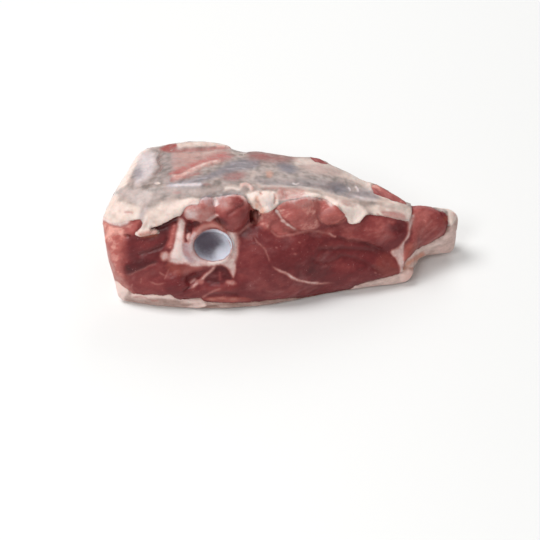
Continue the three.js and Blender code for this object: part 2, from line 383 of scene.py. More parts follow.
class Shape:
    """Something drawn in the picture, with a share from 0 to 1 at each place. At 1 it rises that far in
    millimetres and gives the fields those values."""

    def __init__(self, points, reach, share, rise=0.0, **values):
        self.low = points.min(axis=0) - reach / PIXEL
        self.high = points.max(axis=0) + reach / PIXEL
        self.share = share
        self.rise = rise
        self.values = values

    def __call__(self, places):
        close = np.all((places > self.low) & (places < self.high), axis=1)
        result = np.zeros(len(places))
        result[close] = self.share(places[close])
        return result


def area(points, soft, **effect):
    """The inside of an outline, with an edge soft millimetres wide to each side."""
    outline = curved(points, closed=True)
    return Shape(outline, soft, lambda places: smooth(-soft, soft, depth_in(places, outline)), **effect)


def pillow(points, border, **effect):
    """The inside of an outline, which rises from a crease at its edge and is level border millimetres in."""
    outline = curved(points, closed=True)

    def share(places):
        rise = np.clip(depth_in(places, outline) / border, 0, 1)
        return rise * (2 - rise)

    return Shape(outline, 0, share, **effect)


def stroke(points, width, ends=0.15, **effect):
    """A line of that half width in millimetres, which fades over that share of it at each end."""
    line = curved(points)

    def share(places):
        away, along = to_line(places, line)
        fade = smooth(0, ends, along) * smooth(1, 1 - ends, along)
        return np.exp(-(away / width) ** 2) * fade

    return Shape(line, STROKE_REACH * width, share, **effect)


def oval(middle, across, down, turn=0.0, soft=0.3, **effect):
    """The inside of an oval given in pixels and degrees, with an edge as soft as that share of it."""
    turned = math.radians(turn)
    reach = max(across, down) * (1 + soft) * PIXEL

    def share(places):
        x, y = (places - middle).T
        long = (x * math.cos(turned) + y * math.sin(turned)) / across
        short = (y * math.cos(turned) - x * math.sin(turned)) / down
        return smooth(1 + soft, 1 - soft, np.hypot(long, short))

    return Shape(np.array([middle], float), reach, share, **effect)


def together(shapes, ends, reach, **effect):
    """Several shapes as one, the most of them at each place."""
    def share(places):
        return np.max([shape(places) for shape in shapes], axis=0)

    return Shape(np.array(ends, float), reach, share, **effect)


def strands(lines, width, **effect):
    """Several lines as one shape."""
    shapes = [stroke(points, width, STRAND_ENDS) for points in lines]
    return together(shapes, sum(lines, []), STROKE_REACH * width, **effect)


def ovals(middles, across, down, turn=0.0, **effect):
    """Several ovals as one shape."""
    shapes = [oval(middle, across, down, turn, OVALS_SOFT) for middle in middles]
    return together(shapes, middles, (1 + OVALS_SOFT) * max(across, down) * PIXEL, **effect)


# What the picture shows, in its pixels

# The fat and membrane over the top: their lower edge on the cut face, then back round outside the joint.
COVER = [
    (90, 213), (101, 214.5), (107, 219), (113, 222.5), (120, 223), (128, 221), (136.6, 220), (141, 220.5),
    (142, 225), (139, 229), (135.5, 232), (135, 235), (141, 236.5), (150, 235.2), (159, 234), (158, 230.5),
    (150, 229.3), (157, 227.8), (163, 224), (171.4, 219.9), (179.7, 216.6), (183.6, 211.6), (186.3, 207.3),
    (193, 206), (199.6, 204.5), (200, 199.5), (205, 197.6), (213, 197.4), (222, 196.2), (231, 194.8),
    (239, 195), (245, 198.5), (249, 203.5), (253, 208), (257, 210), (262, 212), (269, 210.5), (274, 209.3),
    (277, 206.5), (281, 203.5), (294, 201), (308, 198.2), (322, 198.5), (329, 201.5), (340, 210),
    (346, 217.5), (350, 223), (355, 224), (360, 222), (365, 216), (375, 214.6), (389, 217.5), (402, 220.5),
    (409, 221), (411.5, 213), (411.5, 207), (414, 198), (400, 150), (300, 110), (100, 110), (80, 160),
]

# Bare meat within it.
BARE_ON_TOP = {
    "strip at the thin end": [
        (371.5, 184.5), (379, 186.5), (389, 191), (399.6, 196.6), (406.5, 204.8), (398, 202.8),
        (389, 199.8), (380.9, 197), (373, 193.5),
    ],
    "bump in the back edge": [
        (310, 157), (316, 156), (323, 160), (328, 163.5), (320, 163.3), (314, 161),
    ],
}

# Fat flakes on the thin end's tip.
TIP_FAT = [
    (433, 206.5), (438, 210.5), (443, 212), (447, 217), (448, 221), (449, 229), (456, 231), (462, 220),
    (452, 204),
]

# The fat and skin under the meat: their upper edge from the thick end to the thin end, and round underneath.
SKIN = [
    (98, 262), (108, 265), (112, 277), (118, 283), (125, 288), (131, 293), (143, 295.4), (152, 294.4),
    (160, 296), (170, 294.5), (174, 298), (180, 300.3), (191, 300.3), (200, 299), (207, 302.6), (230, 303),
    (250, 302.6), (262, 301), (290, 298.5), (308, 296.3), (335, 292.3), (352, 288.5), (357, 285.5),
    (369, 281.6), (389, 277), (400, 273.4), (404, 268), (405.5, 262), (411, 255), (417, 249.5),
    (428, 243.5), (438, 239), (444, 235), (448.5, 227), (455, 222), (470, 215), (470, 330), (90, 330),
]

# The socket in the bone's end.
SOCKET = {"middle": (213.1, 245.2), "across": 19.7, "down": 16.4}

# Muscles and lumps that are drawn for their shape and again for their colour. Their upper edges run on under
# the cover.
LUMP_A = [
    (183.5, 212), (186, 206), (192, 202), (201, 201), (209, 203), (214, 207), (216, 212), (213, 216.5),
    (207, 220), (199, 221.5), (191, 220), (185.5, 218),
]
SMALL_LUMP = [
    (200, 200), (203, 196), (211, 195), (214.5, 199), (215, 203), (212, 206.5), (206, 205.5), (202, 203),
]
LUMP_B = [
    (217, 201), (222, 195.5), (230, 193), (239, 193), (246, 197), (249, 203.5), (250, 211), (249, 218),
    (245, 227), (237, 232), (230.5, 233), (226, 230), (220, 226), (216, 221), (215, 214), (216, 206),
]
MUSCLE_N = [
    (275.5, 208), (280, 200), (294, 196), (308, 194), (320, 195), (328, 202), (328, 208), (320, 213),
    (318, 218), (320.5, 224), (315, 229.5), (305, 231), (297, 229), (288, 222.5), (281, 216),
]
MUSCLE_O = [
    (318, 213), (324, 206), (336, 204), (343, 210), (347, 218), (343.5, 222.5), (336, 225.5), (328, 225),
    (321, 221.5),
]
MUSCLE_TOP = [
    (256.5, 223), (257, 213), (262, 207), (270, 206), (276, 212), (279, 219), (273, 225), (268, 229),
    (262, 228),
]
KNUCKLE = [
    (412, 210), (416, 205), (424, 203), (433, 207), (440, 213), (446.5, 222), (447, 230), (441, 237),
    (428, 244), (417, 249), (409, 258), (403, 264), (403, 252), (410, 240), (413, 228), (412, 218),
]

# Everything drawn on the surface, later over earlier: its shape, how far it rises in millimetres and the
# values that it gives the fields. The meat's tone goes from -1, dark, to 1, pale, and line is pale tissue.
# The darkening field is painted shade in clefts, creases, pits, hollows and the socket, and a darker tint in
# a few dark mottles and red patches. White above 1 makes fat brighter than its own colour: painted light.
FEATURES = {
    # The thick end.
    "pale corner": area(
        [(96, 213), (108, 219), (121, 224), (125, 232), (124, 246), (124, 262), (128, 277), (122, 286),
        (96, 286)], 3.4, tone=0.78, orange=0.05),
    "its palest part": area(
        [(97, 214), (108, 219), (118, 223), (121, 230), (112, 236), (100, 241)], 4, tone=0.95, orange=0.08),
    "thin edge over the corner": area(
        [(92, 208), (112, 214), (128, 216), (128, 232), (92, 232)], 3, thin=1),
    "its cream rim": stroke([(100.5, 212), (101, 222), (104, 238)], 2.4, line=0.5, orange=0.2),
    "its lower rim": stroke([(104, 238), (109, 260), (116, 281)], 2.6, line=0.55),
    "pale low in the corner": oval((116, 266), 6, 11, -14, 0.9, tone=0.96),
    "flesh under the cover": area(
        [(118, 224), (128, 220), (140, 219), (141, 224), (134, 232), (127, 236), (121, 233)], 3, tone=0.8),
    "pale blotch in it": oval((120, 229.5), 3.5, 4.5, 0, 0.7, tone=0.88),
    "edge of the corner": stroke(
        [(125, 236), (125, 250), (125, 264), (128, 277)], 4.5, rise=0.7, tone=0.45),
    "notch at the corner": oval((127.5, 235.8), 3, 1.6, 10, 0.6, rise=-1.2, deep=0.7),
    "crease at the corner": stroke(
        [(104, 241), (110, 238), (116, 234.5), (123, 235.5)], 1.2, rise=-0.3, deep=0.1),
    "low corner": area(
        [(108, 270), (121, 275), (127, 283), (133, 291), (131, 296), (112, 284)], 2.6, tone=0.95, line=0.4),
    "dark block": area(
        [(130, 238), (150, 235), (168, 228), (171, 234), (166, 246), (160, 258), (133, 263)], 4.2,
        tone=-0.2),
    "redder middle": oval((144, 244.5), 9, 4.5, -5, 0.8, tone=0.12),
    # Painted shadow under the cover's flap.
    "shadow under the flap": area(
        [(149, 229.5), (165, 225), (179, 218.5), (174, 226), (167, 233), (157, 234)], 1.6, tone=-0.5),
    "left muscle": pillow(
        [(126, 240), (138, 237), (158, 235), (168, 238), (164, 245), (150, 250), (128, 255)], 6, rise=0.5),
    "crease in the thick end": stroke(
        [(135, 256), (146, 252.5), (156, 249.5), (163, 246), (167, 240), (168, 232)], 1.4, rise=-0.9,
        deep=0.5),
    "dark band": area([(126, 264), (142, 259), (156, 261), (142, 268.5), (128, 276)], 2, tone=-0.5),
    "low left muscle": pillow(
        [(128, 264), (150, 255), (166, 259), (170, 268), (183, 272), (190, 285), (176, 296), (150, 293),
        (131, 289)], 8, rise=1.2),
    "low left tone": area(
        [(122, 278), (140, 273), (165, 264), (176, 272), (180, 286), (170, 295), (130, 293)], 3, tone=0.18),
    "dark right of it": oval((177, 284), 8, 9, 30, 0.9, tone=-0.12),
    "slanting crease": stroke([(124, 278), (135, 272.5), (148, 266), (160, 261)], 1, rise=-0.6, line=0.22),
    "strands in the low muscle": strands(
        [[(158, 270), (161, 273), (166, 276)], [(170, 267), (167, 274), (163, 281)], [(141.5, 276),
        (141, 284)], [(133, 282), (129, 292)], [(148, 280), (158, 284), (168, 282)]], 0.8, line=0.26),
    # The column of tissue beside the socket.
    "strip beside the column": stroke([(174.5, 221), (172.5, 236), (168.5, 251)], 2.7, rise=0.9, tone=0.84),
    "pale node": oval((165, 256), 4.5, 4.2, 0, 0.7, rise=0.3, line=0.62),
    "column": stroke([(182, 220), (181, 236), (178.5, 250), (178, 262)], 3.6, rise=1.3),
    "its tissue": area(
        [(179, 220), (184.5, 222), (184, 237), (184, 250), (189, 258), (194, 263), (182, 263.5),
        (171, 262.5), (170, 257), (175, 241)], 2, line=1),
    "brown under it": area(
        [(169, 262), (182, 263.5), (200, 267), (192, 272), (178, 275), (168, 270)], 2.6, tone=0.32,
        orange=0.12),
    "bluish tissue": area(
        [(184, 243), (191, 246), (195, 258), (192, 263), (186, 259), (183, 251)], 1.4, line=0.62, blue=0.9),
    "pits beside the column": oval((188.5, 232), 3, 11, 3, rise=-1, tone=-0.5, deep=0.4),
    "pale bit in them": oval((188.2, 237), 1.8, 4.2, 0, 0.5, rise=0.9, deep=0, line=0.6),
    "pit above the socket": oval((195.5, 224.5), 6, 3, -15, rise=-1.2, tone=-0.4, deep=0.3),
    "tissue over the pit": strands(
        [[(191, 221.5), (196, 220.5), (200, 222.5)], [(199, 223), (202, 221)]], 0.9, line=0.45),
    "tissue round the socket": oval((210.5, 247.5), 22.5, 17.5, 0, 0.15, tone=0.7, line=0.55),
    # Round the socket and in it.
    "rim over the socket": stroke(
        [(194, 236), (200, 229), (206, 225.5), (213, 224.3), (221, 227), (229, 234)], 2.6, rise=0.9, tone=1,
        orange=0.2, line=0.35),
    "rim left of the socket": stroke(
        [(197, 230), (192.5, 238), (191.5, 249), (195, 258), (203, 263)], 2.2, line=0.75, blue=0.4),
    "meat right of the socket": area(
        [(230, 231), (238, 232), (240, 240), (237, 256), (234, 266), (229, 262), (233, 252), (234, 240)],
        1.8, tone=0.6, line=0.3),
    "rim right of the socket": stroke(
        [(227.5, 229), (232, 236), (234, 246), (233, 256), (229.5, 264)], 2.6, 0.08, line=0.95),
    "band under the socket": stroke(
        [(183, 262.5), (194, 264), (203, 263.5), (211, 262)], 2.2, 0.25, rise=0.4, line=0.68),
    "its right end": stroke(
        [(206, 263.5), (215, 263), (224, 261.5), (231, 257)], 2.2, 0.1, rise=0.2, line=1),
    # Painted shade in the socket, darkest at its upper left, with less of it on the lit lower right foot.
    "socket's shade": oval((210, 248), 15, 14, 0, 0.5, deep=0.5),
    "its dark upper left": oval((206, 240.5), 15.5, 12, 25, 0.75, deep=0.95),
    "its light foot": oval((222.5, 253.5), 7.5, 6, -50, 0.9, deep=0.08),
    # Under the socket.
    "tissue right of the triangle": area(
        [(222, 263), (230, 261), (236, 266), (233.5, 277), (229, 270)], 1.4, tone=0.6, line=0.75),
    "triangle muscle": area(
        [(221.3, 265), (227.4, 270), (232, 277), (229, 282), (221, 283.5), (211, 283), (204, 279.5),
        (209, 273), (215, 267.5)], 1.6, rise=-0.4, tone=-0.36),
    "dark right corner of it": oval((226, 277), 3.4, 4.5, -20, 0.8, tone=-0.55),
    "its lit middle": stroke([(220, 271), (219.5, 276), (221, 281)], 1.2, tone=0.12, line=0.12),
    "line left of it": stroke(
        [(217.5, 265), (210.5, 271), (204, 277), (198, 283), (189, 290)], 1.2, rise=0.3, line=0.6),
    "hollow under the socket": area(
        [(185.5, 282), (189, 276), (196, 272.5), (205, 270.5), (204, 274.5), (198, 279), (193, 284),
        (187, 285)], 1.6, rise=-1.1, tone=-0.1, deep=0.08),
    # Painted glints in the hollow.
    "glints in the hollow": strands(
        [[(189.5, 283.5), (193, 281), (197, 278.5)], [(195, 283), (199, 280)]], 1.2, line=0.42, blue=0.6),
    "tissue beside them": oval((201, 281.5), 3, 2.6, -30, 0.6, tone=0.6, line=0.25),
    "tissue at the triangle's foot": oval((231, 282.7), 5, 2.6, 5, 0.6, tone=0.6, line=0.4),
    "slit": stroke([(182.5, 291.5), (187, 289), (191.5, 286)], 0.9, rise=-0.9, deep=0.5),
    "low lump": oval((222, 289), 15, 4.5, -4, 0.5, rise=0.9, tone=0.22),
    "cleft under it": stroke(
        [(204, 298.5), (213, 294.5), (222, 292.5), (232, 293.5), (244, 296.5)], 1.4, rise=-0.6, deep=0.35),
    "line in the low meat": stroke([(199, 299.5), (208, 294), (216, 289.5), (223, 287)], 0.9, line=0.3),
    "red strip": oval((228, 299.4), 23, 2.8, 0, rise=0.3, tone=0.4, orange=0.1),
    "blotches on it": ovals([(212, 299), (222, 298.3), (233, 298.5)], 4, 1.3, line=0.3, orange=0.35),
    "cleft left of the strip": stroke([(180, 300), (192, 300), (203, 298.5)], 1.2, rise=-1),
    # The lumps over the socket.
    "lump under the lobe": pillow(LUMP_A, 4, rise=2),
    "lobe lump's tone": area(LUMP_A, 1, tone=0.72, line=0.38, blue=0.2),
    "its lit part": oval((192, 212.5), 6.5, 4.2, -5, 0.9, tone=0.9, line=0.78, blue=0.2),
    # The lump's right end is darker: painted shade.
    "its shaded end": oval((210, 212.5), 4.5, 3.5, 0, 0.7, tone=0.5),
    "small lump": pillow(SMALL_LUMP, 3, rise=0.7),
    "thin edge over the lumps": area(
        [(200, 194), (220, 191), (243, 190), (248, 200), (240, 210), (216, 210), (200, 208)], 3, thin=0.75),
    "small lump's tone": area(SMALL_LUMP, 0.8, tone=0.66, line=0.48, blue=0.6),
    "big lump": pillow(LUMP_B, 9, rise=2),
    "big lump's tone": area(LUMP_B, 1, tone=0.24, line=0.06),
    "its lit top": stroke(
        [(217, 202), (222, 197.5), (229, 194.5), (237, 194.5), (243, 197.5)], 2.2, tone=0.6, line=0.6,
        blue=0.5),
    "its film": oval((223.5, 203), 8, 6.5, -25, 0.9, tone=0.6, line=0.5, blue=0.5),
    "its right side": oval((244, 206), 5, 5, 0, 0.9, tone=0.4),
    "cleft in it": stroke([(226, 216), (233, 211.5), (240, 206), (246, 202)], 1.5, rise=-0.8, deep=0.35),
    "its lit low part": strands(
        [[(226, 227), (234, 221), (244, 214)], [(231, 229), (240, 224), (247, 217)]], 2, tone=0.36),
    "dark low left of it": oval((220, 221), 6.5, 4.2, 20, 0.6, tone=-0.6, deep=0.15),
    "cleft under it all": stroke(
        [(214, 215), (219, 223), (226, 230), (233, 234)], 1.5, rise=-1.4, deep=0.45),
    "cleft right of it": stroke(
        [(249, 203), (251.5, 212), (249, 222), (243, 230)], 1.4, rise=-0.9, deep=0.1),
    "tendon": area(
        [(206, 219.5), (210, 216), (216, 213.6), (219.5, 215), (214, 218.6), (209, 221)], 0.9, rise=0.5,
        line=0.6),
    "pale streak between the lumps": stroke(
        [(213, 193), (215.3, 200), (217, 207)], 2.1, 0.1, rise=-0.5, line=0.95, blue=0.2),
    "pocket": oval((253.3, 215.5), 3, 8.5, 8, rise=0.8, tone=0),
    "its red wall": stroke([(250, 202), (253.5, 207), (255, 214), (252, 219)], 2.4, orange=0.25),
    "its dark foot": oval((251.5, 221.5), 3.4, 3, 0, 0.6, deep=0.15),
    # The muscles under the cover's edge.
    "round muscle": pillow(
        [(258, 222), (268, 226), (276, 234), (290, 234.5), (308, 231), (324, 232), (340, 238), (362, 242),
        (384, 251), (399, 262), (401, 272), (380, 279), (345, 290), (300, 297), (262, 300), (243, 296),
        (236, 280), (236, 262), (238, 240), (246, 228)], 16, rise=2.3),
    "its top": pillow(MUSCLE_TOP, 5, rise=1.6),
    "tone of its top": area(MUSCLE_TOP, 2.4, tone=0.78),
    # Painted light on the meat right of the pocket.
    "lit patch by the pocket": oval((258.5, 216.5), 4, 6, 10, 0.9, tone=0.85, line=0.35),
    "hollow beside it": area(
        [(269, 226), (273, 220.5), (280, 219), (289, 225.5), (299, 231.5), (291, 234), (281, 234.5),
        (273, 231)], 1.6, rise=-1, tone=0.5),
    "dark edge of the hollow": stroke([(281, 229), (289, 232), (297, 233)], 1.5, deep=0.55),
    "lit under the small muscle": oval((329, 231), 9, 4.5, 0, 0.9, tone=0.4),
    "upper muscle": pillow(MUSCLE_N, 8, rise=2.4),
    "thin edge over it": area(
        [(284, 196), (310, 194), (334, 200), (330, 210), (300, 207), (284, 208)], 3, thin=0.7),
    "its colour": area(MUSCLE_N, 1.4, tone=0.8, orange=0),
    "its mauve side": oval((301, 203), 17, 6, 5, 0.9, tone=0.7, line=0.36, blue=0.3),
    "small upper muscle": pillow(MUSCLE_O, 5, rise=1.8),
    "small one's colour": area(MUSCLE_O, 1, tone=0.7, orange=0.04),
    "its lit edge": stroke([(317.3, 212), (319, 219), (323.5, 223.5)], 0.9, line=0.25),
    "dark edge under it": stroke(
        [(329, 226.5), (336, 224.6), (341.5, 221), (347, 216)], 1.3, rise=-0.8, deep=0.5),
    "fat seam": stroke(
        [(275, 209), (279.5, 215.5), (283, 221), (290, 226), (300, 231.5)], 1.3, rise=0.3, line=0.62),
    "fat in the seam": ovals([(276.7, 211), (282.5, 221), (288, 225)], 2, 1.5, line=0.78, orange=0.08),
    "pale fleck in it": stroke([(328, 232.5), (332, 235.5), (337, 237)], 0.9, line=0.45),
    # The round muscle.
    "its left edge": stroke(
        [(256.5, 222), (249, 226), (243, 231.5), (238.5, 240), (236.5, 254), (235, 266), (236, 277),
        (240, 288)], 1.5, rise=-0.4, tone=-0.15),
    "tissue along it": stroke(
        [(237.5, 236), (243, 230), (249, 225.3), (257, 221), (258, 215)], 1.3, line=0.3),
    # A painted highlight along the round muscle's lit upper edge.
    "highlight on its rim": stroke(
        [(269, 227), (272, 231.5), (277, 235), (283, 236), (292, 234.5), (302, 232), (312, 231),
        (324, 232.5), (336, 237)], 1.2, line=0.3),
    "upper seam": stroke(
        [(253, 233), (257, 241), (264, 248), (268, 256), (269, 263)], 0.9, rise=-0.5, line=0.26),
    "long seam": stroke(
        [(269, 263), (275, 267), (285, 272), (293, 277), (302, 280), (313, 282), (326, 282), (340, 281)], 1,
        0.3, rise=-0.5, line=0.66),
    "redder low meat": area(
        [(250, 270), (266, 267), (290, 278), (302, 286), (280, 295), (255, 294)], 5, tone=0.14),
    "lit left part": oval((250, 249), 9, 12, 0, 0.9, tone=0.16),
    "dark middle": oval((302, 266), 24, 9, 10, 0.8, tone=-0.2),
    "upper crease": stroke(
        [(312, 250), (330, 248.8), (348, 248.3), (364, 249.5), (386, 252.5)], 1.6, rise=-0.9, deep=0.35),
    "long crease": stroke(
        [(334, 237.5), (346, 240), (358, 241.8), (368, 244.5), (378, 248.5), (387, 252)], 1.6, rise=-1.3,
        deep=0.5),
    "lip over it": stroke([(338, 234), (350, 237), (364, 240), (378, 245)], 2.2, rise=0.5, tone=0.3),
    "low crease": stroke(
        [(334, 254.5), (348, 257), (362, 262), (374, 268), (386, 274)], 1.7, rise=-0.9, deep=0.32),
    "short crease": stroke([(308, 257), (320, 261), (332, 260), (343, 256)], 1.4, rise=-0.5, deep=0.2),
    "dark mottles": ovals([(313, 262), (310, 269), (340, 253)], 4, 2.4, deep=0.3),
    "paler right part": oval((362, 266), 24, 8, 22, 0.7, tone=-0.02),
    "meat at the thin end": area(
        [(383, 253), (392, 258), (400, 272), (388, 277), (374, 268)], 2.6, tone=0.16, orange=0.08),
    # Small painted glints on the wet meat.
    "painted glints": ovals(
        [(375, 272.5), (379.5, 274), (385, 278.5), (292, 248), (299, 242), (315, 227), (276, 247),
        (294, 253)], 1.4, 0.9, 20, line=0.24),
    "pale streaks low": strands(
        [[(304, 294), (310, 288.5), (319, 284.5)], [(262, 289), (272, 291), (284, 290)]], 1.4, line=0.16),
    # The band of meat to the thin end, and the knuckle.
    "band": area(
        [(340, 225), (350, 225), (362, 221), (372, 216), (388, 218), (404, 221), (400, 232), (386, 243),
        (366, 242), (345, 237)], 2.5, tone=0.38),
    "its dark end": oval((400.5, 227.5), 9, 6.5, -15, 0.7, rise=-0.7, tone=-0.34),
    "lit spot over it": oval((392, 222.3), 3.5, 1.5, 0, 0.6, tone=0.5),
    "knuckle": pillow(KNUCKLE, 5, rise=2),
    "its meat": area(KNUCKLE, 1.4, tone=0.42),
    "its lit side": oval((417.5, 221), 8, 13, 12, 0.9, tone=0.68, line=0.1),
    "its stripes": strands(
        [[(424, 244), (436, 236), (444, 227)], [(419, 239), (430, 231), (440, 222)], [(415, 233),
        (426, 225), (434, 217)], [(406, 250), (414, 243), (424, 238)]], 1.1, line=0.24),
    "its foot": area(
        [(403, 250), (410, 243), (417, 246), (409, 256), (403, 263)], 1.6, tone=0.42, orange=0.16),
    "band of tendon": area(
        [(406, 219), (413, 214), (413, 221), (410.5, 230), (409.5, 236), (405, 243), (403.5, 256),
        (405, 270), (401, 274), (397, 261), (391, 251.5), (398, 247.5), (404, 240), (408, 233),
        (408.6, 225)], 1.5, rise=0.3, line=0.72),
    # The tip.
    "flake on the tip": pillow(
        [(440, 209), (448, 210.5), (456, 211), (455, 220), (450, 226), (446, 219)], 3, rise=1.8),
    "its fat": area(
        [(433, 206), (440, 209), (446, 213), (448, 220), (451, 228), (460, 222), (452, 204)], 1,
        white=0.85),
    "red in it": ovals([(445, 219), (452.5, 214.5)], 2.2, 2.6, 20, red=0.4, orange=0.2),
    "notch in the tip": stroke([(441, 212.5), (446, 218.5), (449, 224)], 1.2, rise=-0.5),
    # The cover's left part: fat at its edge, fascia, and a membrane that the meat shows through.
    # Its white above 1 is painted light.
    "left margin": area(
        [(158, 138), (148, 149), (135, 168), (120, 194), (101, 214), (80, 205), (120, 130)], 4, white=1.25),
    "fascia": pillow(
        [(140, 151), (157, 150), (160, 162), (158, 171), (148, 184), (132, 188), (134, 168)], 6, rise=0.8,
        white=0.72, blue=0.5),
    "its blue foot": oval((138, 174), 4.5, 6, 20, 0.8, white=0.3, blue=0.7),
    "its torn edge": stroke(
        [(159, 149), (160.6, 155), (158, 160), (161.6, 166), (158, 171), (150, 178)], 1, rise=-1.7,
        red=0.25, deep=0.35),
    "grey membrane": area(
        [(162, 153), (176, 152), (174, 176), (163, 182), (152, 184), (160, 170)], 2, white=0.12, blue=0.2),
    "warm membrane": area(
        [(174, 152), (200, 150.5), (228, 149.5), (224, 156), (212, 161), (197, 167), (180, 172),
        (172, 167)], 2.5, red=0.37, white=0.4),
    "end of the raised strip": area(
        [(160, 149.5), (166, 145), (172, 142.5), (177, 145.5), (176, 150.5), (168, 152)], 1.6, red=0.85,
        deep=0.45),
    "raised strip": stroke([(170, 146), (190, 145), (212, 144.5), (238, 147)], 2.8, rise=1.5),
    "its fat top": area(
        [(178, 143), (200, 139), (242, 142), (238, 146), (200, 147.6), (178, 148.6)], 1, white=0.72),
    "salmon on the strip": stroke([(214, 147), (226, 146.2), (237, 147)], 1, white=0.9, red=0.5),
    "line under the strip": stroke(
        [(164, 151), (178, 150.5), (200, 149.3), (222, 148), (238, 148)], 1.2, rise=-0.9, red=0.5),
    "white loop": stroke([(203, 159), (204.3, 154), (211, 153), (218, 150)], 0.9, rise=0.4, white=0.55),
    "mauve patch": oval((234, 176), 12, 4.2, -4, 0.7, rise=-0.7, red=0.5, deep=0.4, blue=0.2),
    "blue streaks": area(
        [(222, 166), (236, 160), (258, 160), (256, 168), (232, 172), (214, 178), (196, 183), (178, 182),
        (196, 178), (212, 172)], 2, blue=0.75),
    "white streaks in them": strands(
        [[(228, 164), (240, 163), (252, 164)], [(222, 170), (236, 168), (252, 169)], [(184, 180.5),
        (198, 179.5), (212, 176)]], 0.8, white=0.34),
    "red over the diagonal": area(
        [(168, 174), (180, 168), (195, 162.5), (210, 157), (226, 153.5), (234, 156), (226, 160.5),
        (208, 165), (192, 171), (178, 176)], 2.4, rise=0.3, red=0.7),
    "red under it": stroke([(168, 180), (178, 178.5), (190, 175.5), (205, 171.5)], 1.6, red=0.5),
    "salmon diagonal": stroke(
        [(169, 176.3), (176, 177.6), (182, 176.3), (190, 171.4), (200, 167), (208, 164.4), (216, 162),
        (225, 159.6)], 1.6, rise=1, white=0.95, red=0.5),
    "fold over the streak": stroke(
        [(140, 190), (161, 186.5), (182, 186), (204, 185.5), (216, 188)], 2, rise=0.9),
    # A painted highlight along the fold, brightest at its glare.
    "highlight streak": stroke([(164, 186.3), (176, 185.8), (190, 185.4), (207, 185)], 3, white=0.5, blue=0.8),
    "its glare": stroke([(170, 186), (190, 185.4), (202, 185.2)], 1.1, white=0.85, blue=0.6),
    "white spot": oval((157, 183), 3, 1.5, 0, 0.5, white=0.7),
    "brown spots": ovals([(206.5, 184.8), (177, 192.4)], 4.4, 1.8, red=0.3),
    "grey at the left": area(
        [(112, 190), (135, 187), (152, 191), (152, 203), (140, 206), (131, 200), (118, 197)], 2.5,
        white=0.46, blue=0.2),
    "grey below the streak": area(
        [(160, 189), (205, 188), (222, 190), (200, 194), (164, 196)], 2, white=0.45, blue=0.2),
    "light strip": stroke([(222, 189), (232, 188), (243, 189.5)], 2, white=0.66),
    # The fat at the cover's edge, from the thick end.
    "left lobe": area(
        [(96, 209), (116, 201), (134, 204), (148, 208), (160, 202), (184, 199), (201, 200), (203, 207),
        (186, 209), (180, 218), (150, 232), (130, 240), (96, 228)], 4.5, white=0.83),
    "cream part of it": oval((190, 202), 9, 3, 0, 0.9, white=0.78, orange=0.07),
    "fold down the lobe": stroke(
        [(148, 204), (142.5, 213), (141, 221), (138, 230)], 2.2, rise=-0.6, white=0.5, blue=0.3),
    "brown crease in it": stroke(
        [(141.5, 221), (139.5, 227), (135.5, 233)], 0.9, rise=-0.8, red=0.4, deep=0.3),
    "red nick": stroke([(124, 213.8), (129, 212.4), (133.5, 214)], 0.9, rise=-0.4, red=0.55),
    "curl under the lobe": stroke(
        [(136, 234.2), (144, 232.5), (152, 231.7), (159, 232.2)], 1.6, rise=1.3, white=0.85, red=0.5,
        orange=0.15),
    "orange under the curl": stroke(
        [(139, 236), (146, 235.5), (153, 235), (159, 234)], 1.5, orange=0.32, red=0.3),
    # Painted shadow in the cleft under the lobe.
    "cleft under the lobe": stroke(
        [(149, 229.6), (158, 228.8), (165, 225.5), (173, 221.5), (181, 218)], 1.5, 0.08, rise=-2.3,
        deep=0.6),
    "salmon fold": stroke(
        [(239, 187.5), (245, 185.3), (250, 187), (253, 192)], 1.8, rise=1.2, white=0.85, red=0.42),
    "fat by the pocket": area(
        [(246, 193), (258, 191), (268, 192), (276, 194), (278, 203), (268, 213), (256, 211), (250, 202)],
        1.8, white=0.95),
    # Its white above 1 is painted light.
    "big bead": oval((267.5, 200.5), 7, 8, 10, 0.5, rise=1.6, white=1.1),
    "left bead": oval((257, 197), 5, 5, -20, 0.5, rise=1.2),
    "right bead": oval((278, 195), 5.5, 5, 0, 0.5, rise=1.2),
    "far bead": oval((291, 195.5), 8, 4, 0, 0.5, rise=0.6, red=0.75, white=0.85),
    "orange in the fat": ovals([(257, 205), (262.5, 209.5), (256.5, 199.5)], 2.4, 2.6, orange=0.6),
    "clefts in the fat": strands(
        [[(253, 200), (258, 201.5), (261, 206), (263, 211)], [(273.5, 193), (275.5, 199), (274, 206)],
        [(260, 192), (263, 196)]], 1.1, rise=-0.8, red=0.45, orange=0.15),
    "grey on the big bead": oval((270, 203), 4, 4.5, 20, 0.9, white=0.7, blue=0.3),
    "pink in the fat": area(
        [(278, 190), (302, 190), (303, 198), (290, 201), (279, 200)], 1.6, white=0.8, red=0.5),
    "red flecks in it": strands(
        [[(280.5, 190), (282.5, 195), (281, 201)], [(285, 191), (286.5, 196), (284, 200)]], 1, red=0.62),
    # Its white above 1 is painted light.
    "band over the muscles": area(
        [(300, 191), (312, 193), (326, 196), (340, 202), (336, 207), (322, 198), (302, 200)], 2.2,
        white=1.2),
    "pink line over it": stroke([(260, 188.5), (280, 189.5), (306, 192)], 1, red=0.38),
    # Its white above 1 is painted light.
    "right lobe": area(
        [(338, 199), (350, 201), (362, 206), (367, 213), (364, 218), (359, 224), (350, 225), (345, 217)], 2,
        rise=0.3, white=1.35, blue=0),
    "pink over it": oval((346, 203.5), 7, 2.2, 20, 0.7, red=0.42, white=0.8),
    "cover at the thin end": area(
        [(366, 205), (388, 206), (412, 208), (412, 222), (389, 219), (370, 214)], 2.5, white=0.78),
    "pink along its edge": area(
        [(378, 211.5), (391, 210.5), (404, 214), (405, 221), (389, 218), (378, 215.5)], 1.4, white=0.6,
        red=0.48),
    "pale fibres in it": strands(
